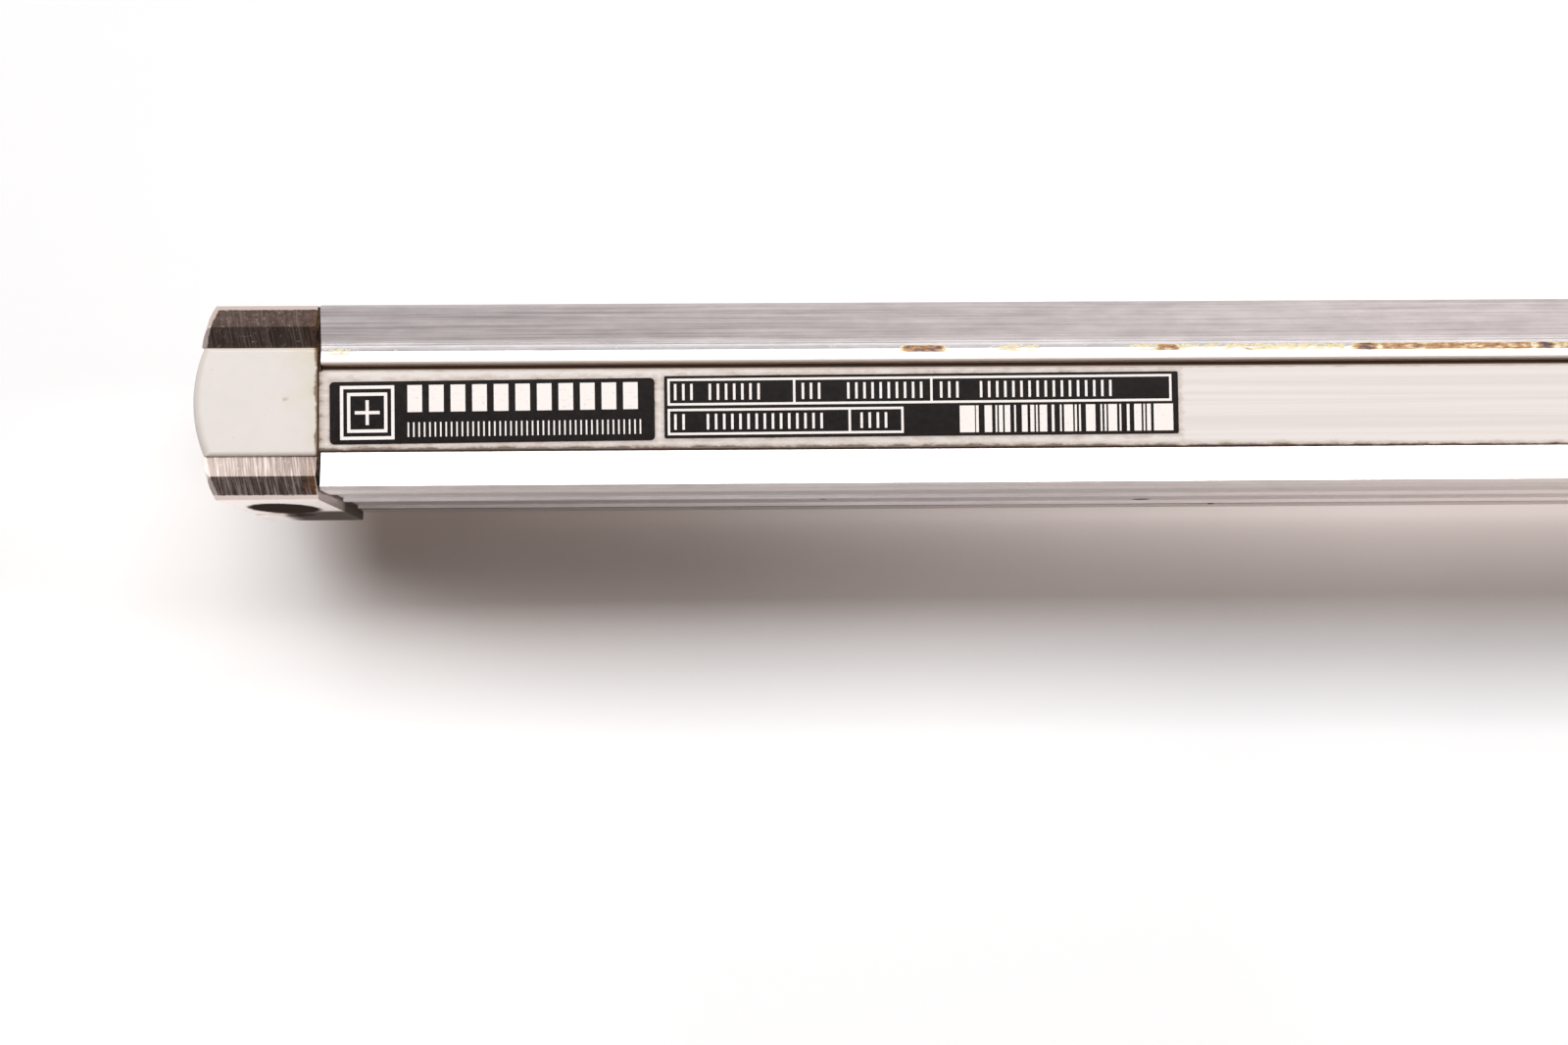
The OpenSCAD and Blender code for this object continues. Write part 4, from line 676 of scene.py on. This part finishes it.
def worn_skin(tree, axes, outward, near, scuffs, bright):
    """Colour of the faces: dark skin, painted shade inside the far ridge, a bare near slope made paler as
    painted light, rust at the joint.
    """
    # painted shade: the inner slope of the far flank is darker
    inner = band(tree, axes["Y"], CAP_SEAT, RIDGE, RIDGE_SOFT)
    patchy = add(tree, "MapRange", (scuffs, 0.40, 0.56, 0.75, 0.0))
    inner = add(tree, "Math", (inner, patchy), operation="MAXIMUM")
    skin = add(tree, "Mix", (inner, CAST_DARK, CAST_PAINTED_SHADE), data_type="RGBA")
    face = add(tree, "Mix", (bright, skin, CAST_SCRATCH), data_type="RGBA")
    # the near inner slope: ground bare, and paler as painted light
    slope = band(tree, axes["Y"], -RIDGE, -CAP_SEAT, RIDGE_SOFT)
    worn_and_lit = add(tree, "Mix", (bright, CAST_WORN_AND_LIT, CAST_BARE_AND_LIT), data_type="RGBA")
    face = add(tree, "Mix", (slope, face, worn_and_lit), data_type="RGBA")
    rust = add(tree, "MapRange", (outward, END_JOINT, END_JOINT + RUST_REACH, 0.28, -0.1))
    rust = add(tree, "Math", (rust, scuffs), operation="ADD")
    rust = add(tree, "MapRange", (rust, 0.58, 0.78, 0.0, 0.75))
    rust = add(tree, "Math", (rust, near), operation="MULTIPLY")
    outer = add(tree, "Math", (slope, -0.6, 1.0), operation="MULTIPLY_ADD")
    rust = add(tree, "Math", (rust, outer), operation="MULTIPLY")
    return add(tree, "Mix", (rust, face, CAST_RUST), data_type="RGBA")


def bare_rims(tree, place, axes, outward, side, scuffs):
    """1 on both flanks, the near edge at the joint and the outermost band of the curved end."""
    flank = add(tree, "Math", (axes["Y"],), operation="ABSOLUTE")
    flank = add(tree, "Math", (flank, BLOCK_HIGH.y - RIM_WIDTH), operation="SUBTRACT")
    joint = add(tree, "Math", (END_JOINT + RIM_WIDTH / 3, outward), operation="SUBTRACT")
    far_side = add(tree, "Math", (axes["Y"], 0.0), operation="GREATER_THAN")
    joint = add(tree, "Math", (far_side, -MM, joint), operation="MULTIPLY_ADD")
    centre = (-side * (BLOCK_LOW.x + END_RADIUS), 0, 0)
    spoke = add(tree, "VectorMath", (place, centre), operation="SUBTRACT")
    level = add(tree, "VectorMath", (spoke, (1, 1, 0)), operation="MULTIPLY")
    reach = add(tree, "VectorMath", (level,), operation="LENGTH")
    curve = add(tree, "Math", (reach, END_RADIUS - RIM_WIDTH), operation="SUBTRACT")
    edge = add(tree, "Math", (flank, curve), operation="MAXIMUM")
    edge = add(tree, "Math", (edge, joint), operation="MAXIMUM")
    ragged = add(tree, "Math", (scuffs, 2 * RIM_RAGGED, -RIM_RAGGED), operation="MULTIPLY_ADD")
    edge = add(tree, "Math", (edge, ragged), operation="ADD")
    return add(tree, "MapRange", (edge, -0.05 * MM, 0.05 * MM, 0.0, 1.0))


def hole_painted_shade(tree, place, axes, outward, side, scuffs, level):
    """Painted shade on the near half: a ragged ellipse over the mounting hole, and a painted shadow on the
    lower inner corner.
    """
    hole = add(tree, "VectorMath", (place, (side * HOLE_X, 0, HOLE_Z)), operation="SUBTRACT")
    hole = add(tree, "VectorMath", (hole, (1 / HOLE_SHADE[0], 0, 1 / HOLE_SHADE[1])), operation="MULTIPLY")
    hole = add(tree, "VectorMath", (hole,), operation="LENGTH")
    hole = add(tree, "Math", (scuffs, 0.4, hole), operation="MULTIPLY_ADD")
    shaded = add(tree, "MapRange", (hole, 1.12, 1.28, level, 0.0))
    inward, upward = ([start + reach for reach in SHADED_CORNER[axis]]
                      for axis, start in (("X", END_JOINT), ("Z", BLOCK_LOW.z)))
    corner = add(tree, "MapRange", (outward, *inward, CORNER_LEVEL * level, 0.0))
    lower = add(tree, "MapRange", (axes["Z"], *upward, 1.0, 0.0))
    corner = add(tree, "Math", (corner, lower), operation="MULTIPLY")
    shaded = add(tree, "Math", (shaded, corner), operation="MAXIMUM")
    near_half = add(tree, "Math", (axes["Y"], 0.0), operation="LESS_THAN")
    return add(tree, "Math", (shaded, near_half), operation="MULTIPLY")


def ground_zinc(name, side, stain_and_shade):
    """Dark cast zinc: ground across Y, bare at its rims and on the inner slope to the near side, with
    painted light and shade on the slopes and painted shade by the mounting hole.
    """
    material, tree, shader, place = surface(name, {"Anisotropic": 0.3})
    axes = add(tree, "SeparateXYZ", (place,)).node.outputs
    outward = add(tree, "Math", (axes["X"], side), operation="MULTIPLY")
    near = add(tree, "MapRange", (axes["Y"], -CAP_SEAT, CAP_SEAT, 1.0, 0.24))
    scratches, scuffs, bright = ground_marks(tree, place, near)
    face = worn_skin(tree, axes, outward, near, scuffs, bright)
    bare = add(tree, "Mix", (near, CAST_ROSY, CAST_BARE_AND_LIT), data_type="RGBA")
    outer_face = add(tree, "Math", (axes["Y"], BLOCK_LOW.y + 0.05 * MM), operation="LESS_THAN")
    bare = add(tree, "Mix", (outer_face, bare, HANDLED), data_type="RGBA")
    rims = bare_rims(tree, place, axes, outward, side, scuffs)
    colour = add(tree, "Mix", (rims, face, bare), data_type="RGBA")
    # painted shade over the mounting hole and painted shadow in the lower corner; the right block gets
    # none
    shaded = hole_painted_shade(tree, place, axes, outward, side, scuffs, stain_and_shade)
    colour = add(tree, "Mix", (shaded, colour, SHADE_DARK), data_type="RGBA")
    gloss = add(tree, "MapRange", (scratches, 0.3, 0.7, 0.30, 0.46))
    unshaded = add(tree, "MapRange", (shaded, 0.0, 0.35, 1.0, 0.0))
    shiny = add(tree, "Math", (unshaded, 0.5), operation="MULTIPLY")
    feed(tree, shader, {"Base Color": colour, "Roughness": gloss, "Metallic": unshaded,
                        "Specular IOR Level": shiny}, scratches, strength=0.35, depth=0.02 * MM)
    return material


finish(ground_zinc("ground_zinc_left", -1, 0.95), "end_block_left")
finish(ground_zinc("ground_zinc_right", 1, 0.0), "end_block_right")


# ------------------------------------ end caps
# Injection-moulded ABS caps in the same cream as the strip. They drop over the top of the block
# and down its end, and oil has crept in yellow from the joint.
CAP_CREAM, CAP_GREY = "e6ded7", "dcd4cd"
OIL_YELLOW, OIL_BROWN = "c9bb96", "70502a"
CAP_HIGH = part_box("end_cap_left")[1]


def moulded_abs():
    """Cream ABS: fine spark-eroded texture, and an oil stain that fades away from the joint."""
    material, tree, shader, place = surface("moulded_abs", {"Roughness": 0.45, "IOR": 1.53})
    axes = add(tree, "SeparateXYZ", (place,)).node.outputs
    texture = grain(tree, place, 0.12 * MM, detail=3.0)
    clouds = grain(tree, place, (2.2 * MM, 1.6 * MM, 1.6 * MM), detail=4.0, rough=0.6)
    cream = add(tree, "Mix", (clouds, CAP_GREY, CAP_CREAM), data_type="RGBA")
    out = add(tree, "Math", (axes["X"],), operation="ABSOLUTE")
    creep = add(tree, "MapRange", (out, -CAP_HIGH.x + 0.1 * MM, -CAP_HIGH.x + 4.5 * MM, 0.30, -0.25))
    upper = add(tree, "MapRange", (axes["Y"], -4 * MM, 4.5 * MM, -0.12, 0.10))
    stain_and_shade = add(tree, "Math", (creep, upper), operation="ADD")
    stain_and_shade = add(tree, "Math", (stain_and_shade, clouds), operation="ADD")
    stain_and_shade = add(tree, "MapRange", (stain_and_shade, 0.45, 0.95, 0.0, 0.42))
    colour = add(tree, "Mix", (stain_and_shade, cream, OIL_YELLOW), data_type="RGBA")
    seam = add(tree, "MapRange", (out, -CAP_HIGH.x, -CAP_HIGH.x + 0.42 * MM, 0.46, -0.05))
    seam = add(tree, "Math", (seam, clouds), operation="ADD")
    seam = add(tree, "MapRange", (seam, 0.62, 0.86, 0.0, 1.0))
    colour = add(tree, "Mix", (seam, colour, OIL_BROWN), data_type="RGBA")
    feed(tree, shader, {"Base Color": colour}, texture, strength=0.2, depth=0.01 * MM)
    return material


finish(moulded_abs(), "end_cap_left", "end_cap_right")


# ------------------------------------ gaskets and joint grease
# Nitrile gaskets seal the blocks to the extrusion. Old grease has been squeezed out of the joint
# and fills it as a dark, shiny, uneven bead.
GREASE_BLACK, GREASE_BROWN = "150e0a", "4a321c"
# top of the block in mm: out from the middle, and Z from its highest line
BLOCK_PROFILE = ((0.0, -0.75), (5.05, -0.7), (6.9, 0.0), (8.55, -0.85), (9.0, -1.3))


def oily_rubber():
    """Dark nitrile soaked in oil: brown film in places, with a wet gloss."""
    material, tree, shader, place = surface("oily_rubber", {"IOR": 1.3})
    film_and_shade = grain(tree, place, 0.8 * MM, detail=4.0, rough=0.7)
    tone = add(tree, "MapRange", (film_and_shade, 0.42, 0.66, 0.0, 1.0))
    colour = add(tree, "Mix", (tone, GREASE_BLACK, GREASE_BROWN), data_type="RGBA")
    gloss = add(tree, "MapRange", (film_and_shade, 0.3, 0.7, 0.25, 0.6))
    feed(tree, shader, {"Base Color": colour, "Roughness": gloss}, film_and_shade, strength=0.5, depth=0.05 * MM)
    return material


def close_tube(piece):
    """Closes a tube that grid_mesh rolled up: welds its seam, caps both ends, faces it outward."""
    shape = bmesh.new()
    shape.from_mesh(piece.data)
    bmesh.ops.remove_doubles(shape, verts=shape.verts, dist=1e-7)
    bmesh.ops.holes_fill(shape, edges=shape.edges, sides=0)
    bmesh.ops.recalc_face_normals(shape, faces=shape.faces)
    shape.to_mesh(piece.data)
    shape.free()


def joint_grease(name, side):
    """A squeezed-out bead across the labelled face, as a flat ellipse swept along Y.

    At t from 0 to 1 it stands at y = y0 + (y1 - y0) t and follows the top of the block. Its half
    width is 0.14 + 0.04 sin(41 t) + 0.03 sin(97 t + 1) mm, and 0.07 mm more beside the metal.
    """
    t = np.linspace(0, 1, 160)[:, None]
    angle = np.linspace(0, 2 * np.pi, 10, endpoint=False)[None, :]
    y = (HOUSING_LOW.y + 0.3 * MM) + t * (HOUSING_HIGH.y - HOUSING_LOW.y - 0.6 * MM)
    beside_metal = np.clip((np.abs(y) - CAP_SEAT) / (0.3 * MM), 0, 1)
    half = (0.14 + 0.04 * np.sin(41 * t) + 0.03 * np.sin(97 * t + 1) + 0.07 * beside_metal) * MM
    half = half * np.sqrt(np.sin(np.pi * np.clip(t, 0.002, 0.998)) ** 0.2)
    outward, down = np.array(BLOCK_PROFILE).T * MM
    z = BLOCK_HIGH.z - 0.07 * MM + np.interp(np.abs(y), outward, down) + 0.3 * half * np.sin(angle)
    centre = END_JOINT + (0.05 * beside_metal - 0.06 + 0.04 * np.sin(23 * t + 2)) * MM
    x = side * (centre + half * np.cos(angle))
    piece = grid_mesh(name, np.c_[x, x[:, :1]], np.c_[y + 0 * x, y], np.c_[z, z[:, :1]], rubber)
    close_tube(piece)
    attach(piece, "housing")


rubber = oily_rubber()
finish(rubber, "end_gasket_left", "end_gasket_right")
joint_grease("grease_left", -1)
joint_grease("grease_right", 1)


# ------------------------------------ small hardware
# Zinc-plated screws, plug screws and rivets, ground pins and rollers, and stamped stainless springs
# and blade. Turning and grinding leave fine marks in the steel's colour, gloss and relief.
TOOL_MARKS = (0.12 * MM, 0.3 * MM, 0.12 * MM)
STEELS = (
    ("plated_steel", "8b8985", "b9b7b3", 0.32,
     ("end_screws_left", "end_screws_right", "air_plug_left", "air_plug_right", "coupling_rivets",
      "blade_screws", "cover_screws")),
    ("bearing_steel", "bcbcba", "d6d6d4", 0.18,
     ("roller_pins", "face_roller_left", "face_roller_right", "face_roller_top", "edge_roller_left",
      "edge_roller_right")),
    ("ground_stainless", "a3a19d", "c4c2be", 0.28, ("coupling_spring", "coupling_plate", "blade")),
)
for name, dark, light, roughness, nodes in STEELS:
    steel = mottled(name, {"Metallic": 1.0}, dark, light, TOOL_MARKS, roughness, rough=0.6, strength=0.15)
    finish(steel, *nodes)


# ------------------------------------ glass scale
# The measuring standard: a ground bar of pale green glass with a chromium grating that repeats
# each 20 microns and wider reference marks, set in an elastic grey bond between two ribs.
GLASS_GREEN, GLASS_CLEAR = "dcefe4", "f3f6f7"
CHROME_LINE, CHROME_GAP = "b4b7ba", "6f7377"
GRATING_PERIOD = 0.02 * MM
MARK_PERIOD = 0.4 * MM
PLASTIC = {"IOR": 1.48}


def ground_glass(name, colour, roughness):
    """Glass with a colour, and a faint haze of polishing marks in its roughness."""
    material, tree, shader, place = surface(name, {"Transmission Weight": 1.0, "IOR": 1.52,
                                                   "Base Color": colour})
    haze = grain(tree, place, (4 * MM, 0.3 * MM, 0.3 * MM), detail=3.0)
    gloss = add(tree, "MapRange", (haze, 0.35, 0.65, roughness / 2, roughness))
    feed(tree, shader, {"Roughness": gloss})
    return material


def ruled_chrome(name, period):
    """Chromium lines across X, one in each period, with bare glass dark between them."""
    material, tree, shader, place = surface(name, {"Metallic": 0.9, "Roughness": 0.2})
    along = add(tree, "SeparateXYZ", (place,)).node.outputs["X"]
    phase = add(tree, "Math", (along, period), operation="DIVIDE")
    phase = add(tree, "Math", (phase,), operation="FRACT")
    line = add(tree, "Math", (phase, 0.5), operation="GREATER_THAN")
    colour = add(tree, "Mix", (line, CHROME_GAP, CHROME_LINE), data_type="RGBA")
    feed(tree, shader, {"Base Color": colour})
    return material


finish(ground_glass("scale_glass", GLASS_GREEN, 0.12), "glass_scale")
finish(ground_glass("optic_glass", GLASS_CLEAR, 0.03), "scanning_reticle", "condenser_lens")
finish(ruled_chrome("grating_chrome", GRATING_PERIOD), "graduation")
finish(ruled_chrome("reference_chrome", MARK_PERIOD), "reference_marks")
bond = mottled("elastic_bond", PLASTIC, "51514f", "6a6a67", 0.6 * MM, 0.6, depth=0.03 * MM)
finish(bond, "scale_bond")


# ------------------------------------ sealing lips
# Two lips of black polyurethane whose stems press into grooves of the housing. Their edges meet
# in a long V under the slot, and the blade of the scanning unit passes between them.
lip = mottled("lip_polyurethane", PLASTIC, "121111", "1d1c1c", 0.4 * MM, 0.38)
finish(lip, "lip_front", "lip_back")


# ------------------------------------ scanning carriage
# A die-cast aluminium carriage with two limbs that straddle the glass. Circuit boards with a
# green solder mask sit on the limbs and are joined by polyimide ribbons.
BOARD_GREEN, BOARD_TRACE = "1f5a3a", "3f7d4f"
TRACK_PITCH = 1.0 * MM
RIBBON_AMBER, RIBBON_TRACE = "b8701e", "d79a4a"
WIRE_PITCH = 0.5 * MM


def tracked(name, ground, track, pitch, roughness):
    """A circuit: parallel copper tracks under a lacquer, stepping sideways now and then."""
    material, tree, shader, place = surface(name, {"Roughness": roughness, "IOR": 1.5})
    axes = add(tree, "SeparateXYZ", (place,)).node.outputs
    cells = add(tree, "Mapping", {"Vector": place, "Scale": (1 / (6 * pitch),) * 3})
    cells = add(tree, "VectorMath", (cells,), operation="FLOOR")
    jump = add(tree, "TexWhiteNoise", {"Vector": cells})
    across = add(tree, "Math", (axes["Y"], axes["Z"]), operation="ADD")
    across = add(tree, "Math", (across, pitch), operation="DIVIDE")
    across = add(tree, "Math", (across, jump), operation="ADD")
    across = add(tree, "Math", (across,), operation="FRACT")
    line = band(tree, across, 0.35, 0.65, 0.04)
    colour = add(tree, "Mix", (line, ground, track), data_type="RGBA")
    feed(tree, shader, {"Base Color": colour}, line, strength=0.4, depth=0.03 * MM)
    return material


def die_cast():
    """As-cast aluminium: matt grey skin with flow marks."""
    material, tree, shader, place = surface("die_cast_aluminium", {"Metallic": 1.0})
    skin = grain(tree, place, 0.3 * MM, detail=4.0, rough=0.7)
    flow = grain(tree, place, (6 * MM, 2 * MM, 2 * MM), detail=2.0)
    tone = add(tree, "Math", (skin, flow), operation="ADD")
    tone = add(tree, "MapRange", (tone, 0.7, 1.3, 0.0, 1.0))
    colour = add(tree, "Mix", (tone, "8f8f90", "b2b2b3"), data_type="RGBA")
    gloss = add(tree, "MapRange", (skin, 0.3, 0.7, 0.42, 0.58))
    feed(tree, shader, {"Base Color": colour, "Roughness": gloss}, skin, strength=0.3, depth=0.03 * MM)
    return material


finish(die_cast(), "carriage")
board = tracked("circuit_board", BOARD_GREEN, BOARD_TRACE, TRACK_PITCH, 0.35)
finish(board, "sensor_board", "lamp_board", "interface_board")
ribbon = tracked("polyimide_ribbon", RIBBON_AMBER, RIBBON_TRACE, WIRE_PITCH, 0.3)
finish(ribbon, "lamp_ribbon", "signal_ribbon")


# ------------------------------------ mounting block
# The foot of the scanning unit, milled from aluminium bar and clear anodised: arcs left by the
# cutter repeat along X. A thin cover closes the pocket of the interface board.
MILLED_LIGHT, MILLED_DARK = "cfcac8", "bab5b3"
CUTTER_PITCH = 0.35 * MM


def milled_aluminium():
    """Milled and anodised bar: faint arcs of the cutter, and a satin gloss."""
    material, tree, shader, place = surface("milled_aluminium", {"Metallic": 1.0})
    wander = grain(tree, place, 9 * MM, detail=1.0)
    axes = add(tree, "SeparateXYZ", (place,)).node.outputs
    bow = add(tree, "Math", (axes["Z"], axes["Z"]), operation="MULTIPLY")
    step = add(tree, "Math", (bow, 60.0, axes["X"]), operation="MULTIPLY_ADD")
    step = add(tree, "Math", (step, 2 * np.pi / CUTTER_PITCH), operation="MULTIPLY")
    ripple = add(tree, "Math", (step,), operation="SINE")
    tone = add(tree, "Math", (ripple, 0.15, wander), operation="MULTIPLY_ADD")
    colour = add(tree, "Mix", (tone, MILLED_DARK, MILLED_LIGHT), data_type="RGBA")
    gloss = add(tree, "MapRange", (tone, 0.2, 0.8, 0.30, 0.40))
    feed(tree, shader, {"Base Color": colour, "Roughness": gloss}, ripple, strength=0.1, depth=0.01 * MM)
    return material


finish(milled_aluminium(), "mounting_block", "block_cover")
finish(mottled("contact_plastic", PLASTIC, "121213", "1c1c1e", 0.3 * MM, 0.45), "connector_insert")
finish(rubber, "connector_gasket")
finish(mottled("wire_jacket", PLASTIC, "1b1b1c", "2a2a2c", 0.5 * MM, 0.42), "connector_wire")
